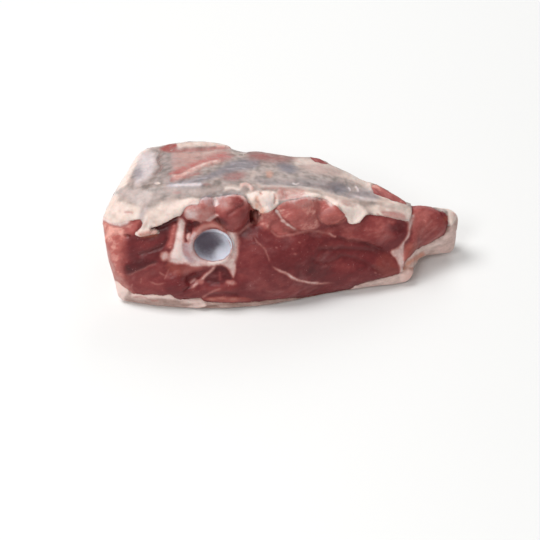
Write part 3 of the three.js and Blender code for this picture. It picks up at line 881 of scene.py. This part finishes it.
        [[(369, 208), (377, 211), (384, 216)], [(374, 205.5), (384, 209), (394, 211.5)]], 0.8, white=0.85,
        red=0.05),
    # The cover's back and right part.
    "back margin": area(
        [(292, 158), (312, 158), (330, 163), (357, 176), (370, 182), (372, 192), (356, 184), (336, 176),
        (312, 168), (296, 166)], 2.5, white=0.55),
    "bump's tone": area([(308, 156), (316, 154), (330, 164), (320, 165)], 1.5, tone=0.5),
    "reddish back": area(
        [(250, 151), (272, 153), (294, 157), (288, 162), (268, 162), (250, 159)], 4, white=0.05, red=0.5,
        deep=0.5),
    "redder spot there": oval((262, 156.5), 7, 2.2, 4, 0.7, red=0.62),
    "peach field": area(
        [(298, 165), (318, 165), (340, 171), (336, 176), (314, 173)], 2, white=0.45, red=0.22),
    "blue-grey patch": oval((287, 168), 10, 4.6, 18, 0.7, blue=0.9),
    "orange spot": oval((269.5, 174), 3.4, 3.6, 0, 0.6, orange=0.4),
    "pale rib": oval((254, 173), 2.6, 9, 12, 0.7, white=0.35),
    "greenish band": area(
        [(253, 178), (280, 180.5), (310, 179), (336, 183), (338, 194), (310, 188), (268, 186)], 3,
        blue=0.42),
    "swirl in it": strands([[(291, 182), (295.5, 184), (301, 182.3)]], 0.9, white=0.7),
    "blue hollow": oval((340, 187.5), 9.5, 5, 10, 0.7, rise=-1.3, blue=0.8),
    "blue beyond it": area(
        [(336, 191), (350, 193), (366, 189), (378, 200), (362, 200), (346, 197)], 2, white=0.25, blue=0.5),
    # Two small bumps whose bright white is a painted glint.
    "glinting bumps beside it": strands(
        [[(347.5, 185.5), (350, 189), (349.7, 192.5)], [(354.5, 186), (357.5, 189), (358, 193)]], 0.9,
        rise=0.5, white=0.75, blue=0.5),
    "red strip on top": area([(370, 184), (389, 190), (407, 205), (389, 200), (373, 194)], 1.4, tone=0.62),
    "its lit end": oval((377, 187.5), 6, 3, 20, 0.7, tone=0.9, orange=0.1),
    "rim over the band": stroke(
        [(340, 172), (356, 178.5), (369, 184), (376, 193), (390, 203), (410, 208)], 2.2, rise=1.2,
        white=0.72),
    "long fold": stroke(
        [(250, 184), (266, 187), (282, 188), (310, 189.5), (332, 196), (352, 201), (372, 205)], 2, rise=1,
        white=0.55),
    "folds at the thin end": stroke(
        [(350, 196.5), (372, 201), (392, 206), (409, 210)], 1.6, rise=0.9, white=0.75),
    # The skin and its fat.
    "skin's corner": area(
        [(98, 262), (110, 262), (113, 276), (129, 289), (132, 306), (116, 306)], 2.5, white=0.95),
    # The seen strip of skin is kept darker than the hidden skin, as it faces down and away: painted shade.
    "skin's left part": area(
        [(130, 291), (150, 294), (172, 294), (205, 300), (205, 312), (130, 308)], 2, white=0.36),
    "its pale upper edge": stroke(
        [(129, 293.5), (143, 297), (153, 296.3), (172, 297), (190, 302), (206, 304)], 1.5, 0.05, white=0.8),
    "dark stripes in it": strands(
        [[(131, 297), (140, 297.3), (151, 299)], [(149, 300.6), (159, 300.9)]], 0.9, rise=-0.3, red=0.5),
    # Kept darker than the hidden skin as well: painted shade.
    "skin's middle part": area([(204, 302), (250, 303), (300, 298), (300, 310), (204, 312)], 2, white=0.32),
    "flap at the foot": area(
        [(183.5, 309.6), (187, 307), (193, 305.4), (203, 303.8), (206, 305.6), (197, 308), (189, 309.8)],
        0.8, rise=1.3, white=0.9),
    "shade under the flap": stroke(
        [(188, 310.6), (197, 309), (208, 306.8), (222, 306)], 0.8, rise=-0.6, white=0.1),
    "skin's right part": area(
        [(352, 287), (380, 279), (402, 273), (412, 276), (404, 287), (360, 292)], 1.5, white=0.6),
    "tail's skin": area(
        [(404, 262), (420, 247), (444, 236), (452, 224), (460, 224), (458, 258), (428, 256), (412, 268)],
        1.5, white=0.55, red=0.08),
    "its pale margin": stroke(
        [(405, 261), (411, 255), (420, 249.5), (432, 245.5), (444, 238.5), (450.5, 230)], 1.7, rise=0.5,
        white=0.7),
    "orange roll": stroke([(405, 267), (411, 261.5), (418, 257), (426, 252.5)], 1.8, orange=0.6, red=0.4),
    "fold over the curl": stroke([(401, 268.5), (408, 268), (414, 269)], 1, rise=-1, red=0.4, orange=0.4),
    "curl": oval((408, 276.5), 6.5, 8, 12, 0.5, rise=2, white=0.95, red=0.3, orange=0.15),
    "its brown edge": stroke([(413, 270), (414.5, 277), (410, 284)], 1.3, red=0.25, orange=0.25),
}


# The surface

def add(name, data):
    made = bpy.data.objects.new(name, data)
    bpy.context.scene.collection.objects.link(made)
    return made


def joined_solids():
    """One mesh object with the faces of all the solids."""
    work = bmesh.new()
    for solid in frame["nodes"].values():
        work.from_mesh(solid.data)
    mesh = bpy.data.meshes.new("solids")
    work.to_mesh(mesh)
    work.free()
    return add("solids", mesh)


def with_modifier(piece, kind, **settings):
    """The mesh of an object with a modifier put on it."""
    change = piece.modifiers.new("change", kind)
    for name, value in settings.items():
        setattr(change, name, value)
    graph = bpy.context.evaluated_depsgraph_get()
    mesh = bpy.data.meshes.new_from_object(piece.evaluated_get(graph))
    piece.modifiers.clear()
    return mesh


def remeshed_solids():
    """A closed mesh with even faces over the outside of all the solids."""
    solids = joined_solids()
    mesh = with_modifier(solids, "REMESH", mode="VOXEL", voxel_size=FACE)
    bpy.data.objects.remove(solids)
    return mesh


def read(mesh, what):
    """A mesh's vertex positions or normals as an array."""
    values = np.empty(len(mesh.vertices) * 3, np.float32)
    if what == "normals":
        mesh.vertex_normals.foreach_get("vector", values)
    else:
        mesh.vertices.foreach_get("co", values)
    return values.reshape(-1, 3).astype(float)


def place(mesh, points):
    mesh.vertices.foreach_set("co", points.astype(np.float32).ravel())
    mesh.update()


class Neighbours:
    """Which vertices of a mesh share an edge."""

    def __init__(self, mesh):
        pairs = np.empty(len(mesh.edges) * 2, np.int32)
        mesh.edges.foreach_get("vertices", pairs)
        self.first, self.second = pairs.reshape(-1, 2).T
        self.count = len(mesh.vertices)
        self.degree = np.bincount(pairs, minlength=self.count)

    def mean(self, values):
        """The mean of each vertex's neighbours, for one column of values."""
        total = np.bincount(self.first, values[self.second], self.count)
        total += np.bincount(self.second, values[self.first], self.count)
        return total / self.degree

    def smoothed(self, points, rounds, shrink=0.5, grow=0.0):
        """Points or values smoothed by steps towards the neighbours' mean, with steps back if asked for."""
        points = points.copy()
        steps = [shrink, grow] if grow else [shrink]
        for step in steps * rounds:
            means = np.stack([self.mean(column) for column in points.T], axis=1)
            points += step * (means - points)
        return points


def away_from(points, node):
    """Distance in millimetres from each point to the surface of a solid."""
    tree = BVHTree.FromObject(frame["nodes"][node], bpy.context.evaluated_depsgraph_get())
    return np.array([tree.find_nearest(point)[3] for point in points]) / MM


def facing_camera(points, normals):
    """The cosine of the angle between the surface's normal and the way to the camera."""
    view = CAMERA_AT - points
    view /= np.linalg.norm(view, axis=1)[:, None]
    return (normals * view).sum(axis=1)


def wobbled(points):
    """Points moved a little by noise, so that edges drawn in the picture come out natural."""
    moved = points.copy()
    for size, amount in WOBBLE:
        for axis in range(3):
            moved[:, axis] += amount * MM * noise(points, size, seed=10 * axis + size)
    return moved


def kinds_on(points, rough, seen, places):
    """Depths in millimetres into the cover, the skin and the bone, and negative outside them."""
    nearer = away_from(points, "meat") - away_from(points, "fat_and_skin")
    outer = np.clip(nearer, -NEARER, NEARER) + ROUGH_BORDER * rough + bumps(points, "border")
    over_skin = points[:, 2] / MM - SKIN_TOP["height"] + SKIN_TOP["rough"] * rough
    cover = mix(np.minimum(outer, over_skin), depth_within(places, COVER), seen)
    skin = mix(np.minimum(outer, -over_skin), depth_within(places, SKIN), seen)
    bone = mix(NO_BONE, depth_in_oval(places, **SOCKET), seen)
    well_seen = seen > 0.5
    for outline in BARE_ON_TOP.values():
        cover = np.where(well_seen, np.minimum(cover, -depth_within(places, outline)), cover)
    cover = np.where(well_seen, np.maximum(cover, depth_within(places, TIP_FAT)), cover)
    return {"cover": cover, "skin": skin, "bone": bone}


def hidden_looks(points, rough, skin):
    """The fields that the colours follow, as they are by rule on the hidden sides."""
    marbling = smooth(*MARBLING["between"], np.abs(noise(points, MARBLING["size"], MARBLING["seed"])))
    corner = smooth(*CORNER, points[:, 1] / MM)
    deep_skin = smooth(*DEEP_SKIN, skin)
    tone, white = HIDDEN_TONE, HIDDEN_WHITE
    looks = {
        "tone": tone["base"] + tone["rough"] * rough + tone["corner"] * corner,
        "white": white["base"] + white["rough"] * rough + white["skin"] * deep_skin,
        "line": MARBLING["most"] * marbling * smooth(*MARBLING["broken"], rough),
        "deep": np.zeros(len(points)),
        "thin": np.zeros(len(points)),
    }
    for name, patch in PATCHES.items():
        looks[name] = patch["most"] * smooth(*patch["between"], noise(points, patch["size"], patch["seed"]))
    return looks


def fields_on(points, seen, places):
    """What the surface is at each vertex: depths in millimetres into its kinds, and shares of its colours."""
    rough = bumps(points, "rough") + bumps(points, "finer rough")
    fields = kinds_on(points, rough, seen, places)
    for name, values in hidden_looks(points, rough, fields["skin"]).items():
        fields[name] = (1 - seen) * values
    for shape in FEATURES.values():
        share = shape(places) * seen
        for name, value in shape.values.items():
            fields[name] = mix(fields[name], value, share)
    return fields


def cover_step(points, fields):
    """Lets the cover run on down the step in the far edge."""
    depth = STEP_COVERED["radius"] - np.linalg.norm(points / MM - STEP_COVERED["middle"], axis=1)
    fields["cover"] = np.maximum(fields["cover"], depth)
    fields["white"] = mix(fields["white"], STEP_COVERED["white"], smooth(*STEP_COVERED["edge"], depth))


def lip_on(fields):
    """The cover's lip and the grooves under it and along the skin, in millimetres."""
    cover = fields["cover"]
    thick = mix(LIP["thin"], 1, np.clip(fields["white"], 0, 1)) * (1 - fields["thin"])
    near = thick * np.exp(-(cover / LIP["reach"]) ** 2)
    lip = near * (LIP["rise"] * smooth(*LIP["on"], cover) - LIP["groove"] * smooth(*LIP["off"], cover))
    return lip - SKIN_GROOVE["depth"] * np.exp(-(fields["skin"] / SKIN_GROOVE["width"]) ** 2)


def along_fibres(points):
    """Points squeezed along the muscle's fibres, which slant up across the cut face."""
    x, y, z = points.T
    slant = math.radians(FIBRES["slant"])
    along = x * math.cos(slant) + z * math.sin(slant)
    across = z * math.cos(slant) - x * math.sin(slant)
    return np.stack((along * FIBRES["squeeze"], y, across), axis=1)


def grain_on(points, fields):
    """Fine relief that meat, fat and membrane have all over, in millimetres."""
    meat = bumps(points, "meat") + bumps(points, "meat grain") + bumps(along_fibres(points), "fibres")
    fat = bumps(points, "fat") + bumps(points, "fat grain")
    membrane = bumps(points * MEMBRANE_SQUEEZE, "membrane") + bumps(points, "membrane grain")
    return mix(meat, mix(membrane, fat, smooth(*FATTY, fields["white"])), smooth(*COVERED, fields["cover"]))


def relief_on(points, fields, seen, places):
    """How far each vertex stands out from the smooth surface, in millimetres."""
    drawn = sum(shape.rise * shape(places) for shape in FEATURES.values() if shape.rise)
    height = (drawn + lip_on(fields)) * seen + grain_on(points, fields)
    return height * smooth(*BONE_BARE, fields["bone"])


# Pieces cut from the surface

def faces_of(mesh):
    """Each face's vertices, four to a row."""
    corners = np.empty(len(mesh.loops), np.int32)
    mesh.loops.foreach_get("vertex_index", corners)
    return corners.reshape(-1, 4)


def edge_keys(pairs):
    """One number for each edge, whichever way round its vertices are."""
    return pairs.min(axis=1).astype(np.int64) << 32 | pairs.max(axis=1)


def made_mesh(name, points, faces, fields, sharp=()):
    """A mesh from arrays, with its fields stored as attributes, and sharp edges between the given pairs."""
    mesh = bpy.data.meshes.new(name)
    mesh.vertices.add(len(points))
    mesh.loops.add(faces.size)
    mesh.polygons.add(len(faces))
    mesh.loops.foreach_set("vertex_index", faces.astype(np.int32).ravel())
    mesh.polygons.foreach_set("loop_start", np.arange(len(faces), dtype=np.int32) * 4)
    mesh.polygons.foreach_set("use_smooth", np.ones(len(faces), bool))
    place(mesh, points)
    for field, values in fields.items():
        mesh.attributes.new(field, "FLOAT", "POINT").data.foreach_set("value", values.astype(np.float32))
    if len(sharp):
        ends = np.empty(len(mesh.edges) * 2, np.int32)
        mesh.edges.foreach_get("vertices", ends)
        split = np.isin(edge_keys(ends.reshape(-1, 2)), edge_keys(sharp))
        mesh.attributes.new("sharp_edge", "BOOLEAN", "EDGE").data.foreach_set("value", split)
    mesh.validate()
    return mesh


def without_scraps(faces):
    """The faces without those that join up, side to side, with only a few others."""
    ends = np.stack((faces, np.roll(faces, -1, axis=1)), axis=2).reshape(-1, 2)
    sides = np.unique(edge_keys(ends), return_inverse=True)[1].reshape(-1, 4)
    lowest = np.arange(sides.max() + 1)
    while True:
        reached = lowest.copy()
        np.minimum.at(reached, sides.ravel(), np.repeat(lowest[sides].min(axis=1), 4))
        reached = reached[reached]
        if np.array_equal(reached, lowest):
            break
        lowest = reached
    part = lowest[sides[:, 0]]
    return faces[np.bincount(part)[part] >= SCRAP]


def thinned(piece, weights, kept):
    """Thins a piece out to a share of its faces, where weights are 1; where they are 0 it stays as it is."""
    group = piece.vertex_groups.new(name="thin")
    for index in np.flatnonzero(weights > 0):
        group.add([int(index)], float(weights[index]), "REPLACE")
    old = piece.data
    piece.data = with_modifier(piece, "DECIMATE", ratio=kept, vertex_group=group.name)
    bpy.data.meshes.remove(old)
    piece.vertex_groups.clear()


def shell(name, faces, outer, inner, fields):
    """A closed piece: faces of the outer surface, the same ones of the inner, and walls between."""
    used, index = np.unique(without_scraps(faces), return_inverse=True)
    front = index.reshape(-1, 4)
    count = len(used)
    starts = front.ravel().astype(np.int64)
    ends = np.roll(front, -1, axis=1).ravel().astype(np.int64)
    border = ~np.isin(starts * count + ends, ends * count + starts)
    rim = np.stack((starts[border], ends[border]), axis=1)
    walls = np.concatenate((rim[:, ::-1], rim + count), axis=1)
    all_faces = np.concatenate((front, front[:, ::-1] + count, walls))
    points = np.concatenate((outer[used], inner[used]))
    doubled = {field: np.tile(values[used], 2) for field, values in fields.items()}
    piece = add(name, made_mesh(name, points, all_faces, doubled, np.concatenate((rim, rim + count))))
    weights = np.repeat((0.0, 1.0), count)
    weights[rim[:, 0] + count] = 0
    thinned(piece, weights, INNER_KEPT)
    return piece


# Materials

def linear(shade):
    """A colour from 0 to 255 as a shader takes it."""
    return (*(((c / 255 + 0.055) / 1.055) ** 2.4 for c in shade), 1.0)


class Graph:
    """A material's nodes, made by short calls. Its inputs are numbers, colours or other nodes' outputs."""

    def __init__(self, name):
        self.material = bpy.data.materials.new(name)
        self.material.use_nodes = True
        self.tree = self.material.node_tree
        self.noises = {}

    def put(self, socket, value):
        if isinstance(value, bpy.types.NodeSocket):
            self.tree.links.new(value, socket)
        else:
            socket.default_value = value

    def shade(self, values):
        """Sets the shader's inputs by their names."""
        for name, value in values.items():
            self.put(self.tree.nodes["Principled BSDF"].inputs[name], value)

    def node(self, kind, **settings):
        made = self.tree.nodes.new(kind)
        for name, value in settings.items():
            setattr(made, name, value)
        return made

    def field(self, name):
        return self.node("ShaderNodeAttribute", attribute_name=name).outputs["Fac"]

    def math(self, operation, first, second):
        made = self.node("ShaderNodeMath", operation=operation)
        self.put(made.inputs[0], first)
        self.put(made.inputs[1], second)
        return made.outputs[0]

    def times(self, first, second):
        return self.math("MULTIPLY", first, second)

    def weighted(self, base, *terms):
        """base plus each value times its weight."""
        for value, weight in terms:
            base = self.math("ADD", base, self.times(value, weight))
        return base

    def mottled(self, base, **weights):
        """base plus each of the named noises times its weight."""
        return self.weighted(base, *[(self.noise(name), weight) for name, weight in weights.items()])

    def broken(self, share, **weights):
        """A share that each of the named noises breaks up, in proportion to it."""
        terms = [(self.times(share, self.noise(name)), weight) for name, weight in weights.items()]
        return self.weighted(share, *terms)

    def over(self, value, start, full):
        """0 where value is start and 1 where it is full, smooth between."""
        made = self.node("ShaderNodeMapRange", interpolation_type="SMOOTHSTEP")
        self.put(made.inputs["Value"], value)
        self.put(made.inputs["From Min"], start)
        self.put(made.inputs["From Max"], full)
        return made.outputs["Result"]

    def mix(self, share, first, second, kind="RGBA"):
        """first where share is 0 and second where it is 1. A colour may be given by its name."""
        made = self.node("ShaderNodeMix", data_type=kind)
        self.put(made.inputs[0], share)
        inputs, output = MIX_SOCKETS[kind][:2], MIX_SOCKETS[kind][2]
        for number, value in zip(inputs, (first, second)):
            self.put(made.inputs[number], linear(COLOURS[value]) if isinstance(value, str) else value)
        return made.outputs[output]

    def layer(self, shade, colour, share, most):
        """A shade with a named colour over it, by its share of the most there is of it."""
        return self.mix(self.times(share, most), shade, colour)

    def ramp(self, value, stops):
        """A colour from stops of (value, colour), for a value from -1 to 1."""
        made = self.node("ShaderNodeValToRGB")
        elements = made.color_ramp.elements
        while len(elements) < len(stops):
            elements.new(0.5)
        for element, (at, shade) in zip(elements, stops):
            element.position = (at + 1) / 2
            element.color = linear(shade)
        self.put(made.inputs[0], self.weighted(0.5, (value, 0.5)))
        return made.outputs["Color"]

    def noise(self, name):
        """One of the noises, from about -1 to 1."""
        if name not in self.noises:
            self.noises[name] = self.made_noise(**NOISES[name])
        return self.noises[name]

    def made_noise(self, size, detail, squeeze=1.0, slant=0.0):
        """Noise with bumps of size millimetres, drawn out along the joint if squeezed."""
        at = self.node("ShaderNodeTexCoord").outputs["Object"]
        if squeeze != 1:
            turned = self.node("ShaderNodeMapping", vector_type="POINT")
            self.put(turned.inputs["Vector"], at)
            self.put(turned.inputs["Rotation"], (0, math.radians(slant), 0))
            spread = self.node("ShaderNodeVectorMath", operation="MULTIPLY")
            self.put(spread.inputs[0], turned.outputs[0])
            self.put(spread.inputs[1], (squeeze, 1, 1))
            at = spread.outputs[0]
        made = self.node("ShaderNodeTexNoise")
        self.put(made.inputs["Vector"], at)
        self.put(made.inputs["Scale"], 1 / (size * MM))
        self.put(made.inputs["Detail"], detail)
        return self.weighted(NOISE_SPREAD["base"], (made.outputs["Fac"], NOISE_SPREAD["times"]))

    def bump(self, height, depth):
        """A normal from a height, which reaches that far in metres."""
        made = self.node("ShaderNodeBump")
        self.put(made.inputs["Strength"], 1.0)
        self.put(made.inputs["Distance"], depth)
        self.put(made.inputs["Height"], height)
        return made.outputs["Normal"]


def lean_colour(graph):
    """Muscle: dark to pale red, with fine fibres, orange where freshly cut and pale tissue in lines."""
    tone = graph.mottled(graph.field("tone"), wide=0.15, coarse=0.13, fine=0.04, fibres=0.1, bundles=0.1)
    shade = graph.ramp(tone, LEAN_TONES)
    shade = graph.layer(shade, "fresh cut", graph.field("orange"), most=0.8)
    # Pale film patches: partly thin membrane, partly painted sheen.
    shade = graph.layer(shade, "film_and_sheen", graph.over(graph.noise("film_and_sheen"), start=0.1, full=1.2), most=0.3)
    # Fine pale specks: partly marbling, partly painted glints.
    specks = graph.over(graph.noise("specks"), start=0.55, full=1.1)
    specks = graph.times(specks, graph.over(graph.noise("coarse"), start=-0.4, full=0.8))
    shade = graph.layer(shade, "film_and_sheen", specks, most=0.5)
    # Darkening: painted shade in clefts, creases, pits and hollows, and a darker tint in dark mottles.
    shade = graph.layer(shade, "deep", graph.field("deep"), most=0.6)
    fading = graph.over(graph.mottled(graph.field("cover"), coarse=0.8), start=-4.5, full=0.0)
    fading = graph.times(graph.times(fading, 0.95), graph.field("thin"))
    share = graph.broken(graph.math("MAXIMUM", graph.field("line"), fading), coarse=0.25, fine=0.12)
    shade = graph.mix(graph.over(share, start=0.0, full=0.5), shade, "thin tissue")
    tissue = graph.mix(graph.field("blue"), "tissue", "blue tissue")
    return graph.mix(graph.over(share, start=0.25, full=1.05), shade, tissue)


def cover_colour(graph):
    """Fat and membrane over the top, from thin and grey to thick and white."""
    mottle = graph.mottled(0.0, clouds=0.7, streaks=0.25)
    thin = graph.mix(graph.over(mottle, start=-0.9, full=0.9), "membrane low", "membrane high")
    blue = graph.weighted(0.0, (graph.field("blue"), 0.85), (mottle, 0.08))
    thin = graph.mix(graph.math("MAXIMUM", blue, 0.0), thin, "membrane blue")
    shaded = graph.weighted(0.7, (mottle, 0.8), (graph.field("white"), -1.0))
    fat = graph.mix(graph.over(shaded, start=-0.4, full=0.9), "fat", "fat shade")
    # White above 1 brings in fat brighter than its own colour: painted light.
    fat = graph.mix(graph.over(graph.field("white"), start=1.0, full=1.5), fat, "fat in painted light")
    fat = graph.mix(graph.field("blue"), fat, "blue fat")
    white = graph.mottled(graph.field("white"), coarse=0.14, fine=0.04, streaks=0.06)
    shade = graph.mix(graph.over(white, start=0.05, full=0.95), thin, fat)
    red = graph.broken(graph.field("red"), streaks=0.3, fine=0.2)
    shade = graph.mix(graph.over(red, start=-0.05, full=1.05), shade, "membrane red")
    shade = graph.layer(shade, "orange fat", graph.field("orange"), most=0.8)
    # Darkening: painted shade in creases and grooves, and a darker tint on some red patches.
    return graph.layer(shade, "deep", graph.field("deep"), most=0.5)


def skin_colour(graph):
    """The fat and skin underneath."""
    white = graph.mottled(graph.field("white"), coarse=0.10, fine=0.06, skin_streaks=0.12)
    shade = graph.mix(graph.over(white, start=0.0, full=1.0), "skin low", "skin high")
    red = graph.mottled(graph.field("red"), coarse=0.06)
    shade = graph.mix(graph.over(red, start=0.05, full=1.0), shade, "membrane red")
    return graph.layer(shade, "orange fat", graph.field("orange"), most=0.8)


def bone_colour(graph):
    """Wet cartilage in the socket, darkened by painted shade where the fields say and tinted at its edge."""
    low = graph.mottled(graph.field("deep"), fine=0.05)
    shade = graph.mix(graph.over(low, start=0.0, full=1.0), "bone high", "bone in painted shade")
    edge = graph.mottled(graph.field("bone"), fine=0.3)
    return graph.mix(graph.over(edge, start=1.0, full=-0.2), shade, "film_and_sheen")


def joint_material(name):
    """The finish of every piece: what the fields say at each place, so it runs on from piece to piece."""
    graph = Graph(name)
    cover = graph.over(graph.mottled(graph.field("cover"), ragged=0.35), **SEAM)
    skin = graph.over(graph.mottled(graph.field("skin"), ragged=0.30), **SEAM)
    bone = graph.over(graph.mottled(graph.field("bone"), fine=0.15), **SEAM)
    shade = graph.mix(cover, lean_colour(graph), cover_colour(graph))
    shade = graph.mix(skin, shade, skin_colour(graph))
    shade = graph.mix(bone, shade, bone_colour(graph))
    rough = graph.mix(graph.math("MAXIMUM", cover, skin), ROUGHNESS["lean"], ROUGHNESS["cover"], kind="FLOAT")
    grain = graph.times(graph.mottled(0.0, grain=1.0, fine_grain=0.22), graph.math("SUBTRACT", 1.0, bone))
    graph.shade({
        "Base Color": shade,
        "Roughness": graph.mottled(rough, coarse=0.04, fine=0.03),
        "Normal": graph.bump(grain, GRAIN_DEPTH),
        **SHADER,
    })
    return graph.material


# Floor, light and camera

def floor():
    mesh = bpy.data.meshes.new("floor")
    corners = [(x * FLOOR["half"], y * FLOOR["half"], 0) for x, y in ((-1, -1), (1, -1), (1, 1), (-1, 1))]
    mesh.from_pydata(corners, [], [(0, 1, 2, 3)])
    made = add("floor", mesh)
    graph = Graph("floor")
    graph.shade({"Base Color": FLOOR["colour"], "Roughness": FLOOR["roughness"]})
    mesh.materials.append(graph.material)


def area_light(name, power, size, at):
    lamp = bpy.data.lights.new(name, "AREA")
    lamp.energy = power
    lamp.size = size
    made = add(name, lamp)
    made.location = at
    made.rotation_euler = (Vector(LIT_POINT) - Vector(at)).to_track_quat("-Z", "Y").to_euler()


def world(strength):
    made = bpy.data.worlds.new("studio")
    made.use_nodes = True
    shade = made.node_tree.nodes["Background"]
    shade.inputs["Color"].default_value = (1, 1, 1, 1)
    shade.inputs["Strength"].default_value = strength
    bpy.context.scene.world = made


def camera():
    lens = bpy.data.cameras.new("camera")
    lens.sensor_width = SENSOR
    lens.lens = FOCAL_PIXELS / PICTURE * SENSOR
    lens.clip_start = CLIP_START
    made = add("camera", lens)
    made.location = CAMERA_AT
    made.rotation_euler = (math.pi / 2 - ELEVATION, 0, 0)
    bpy.context.scene.camera = made


# The joint

def plain_surface(mesh, near):
    """The smooth surface that the relief is put on, and how much each vertex is on the far edge's step."""
    plain = near.smoothed(read(mesh, "points"), **SMOOTHING)
    calmed = near.smoothed(plain, CALMING)
    place(mesh, calmed)
    facing = facing_camera(calmed, read(mesh, "normals"))
    calm = smooth(*CALM_FACING, facing) + smooth(*CALM_HIDDEN, facing)
    calm *= smooth(*CALM_FROM_BONE, away_from(plain, "blade_bone"))
    plain = mix(plain, calmed, calm[:, None])
    step = oval(**STEP)(in_picture(plain))
    return mix(plain, near.smoothed(plain, STEP_SMOOTHED), step[:, None]), step


def shaped_surface():
    """The surface's faces, the relief surface and the plain one under it, with its normals and fields."""
    mesh = remeshed_solids()
    near = Neighbours(mesh)
    plain, step = plain_surface(mesh, near)
    place(mesh, plain)
    normals = read(mesh, "normals")
    facing = near.smoothed(facing_camera(plain, normals)[:, None], FACING_CALMED)
    around = near.smoothed(facing, FACING_AROUND)[:, 0]
    facing = facing[:, 0]
    places = in_picture(wobbled(plain))
    fields = fields_on(plain, np.maximum(smooth(*SEEN, facing), smooth(*SEEN_AROUND, around)), places)
    cover_step(plain, fields)
    height = (1 - step) * relief_on(plain, fields, smooth(*SHAPED, facing), places)
    shaped = np.clip(plain + normals * height[:, None] * MM, *cad_box)
    return faces_of(mesh), shaped, plain, normals, fields


def pieces():
    """The pieces by name: the meat all over, and the others over it where the fields say so."""
    faces, shaped, plain, normals, fields = shaped_surface()
    cover, skin, bone = (fields[name][faces].mean(axis=1) > 0 for name in ("cover", "skin", "bone"))
    covered = np.max([fields["cover"], fields["skin"], fields["bone"]], axis=0)
    under = shaped - normals * (SUNK * smooth(*SUNK_BETWEEN, covered))[:, None] * MM
    inner = plain - normals * THICKNESS * MM
    meat = add("lean_meat", made_mesh("lean_meat", under, faces, fields))
    thinned(meat, smooth(*HIDDEN_MEAT["between"], covered), HIDDEN_MEAT["kept"])
    made = {"lean_meat": meat}
    kinds = {"top_cover": cover & ~skin & ~bone, "under_skin": skin & ~bone, "socket_bone": bone}
    for name, kept in kinds.items():
        made[name] = shell(name, faces[kept], shaped, inner, fields)
    return made


joint = pieces()
for name, nodes, slot in PIECES:
    piece = joint[name]
    piece.data.materials.clear()
    piece.data.materials.append(joint_material(name))
    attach(piece, "root")
    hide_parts(*nodes)

floor()
world(WORLD_STRENGTH)
for name, lamp in LAMPS.items():
    area_light(name, **lamp)
camera()
bpy.context.scene.view_settings.view_transform = "Standard"
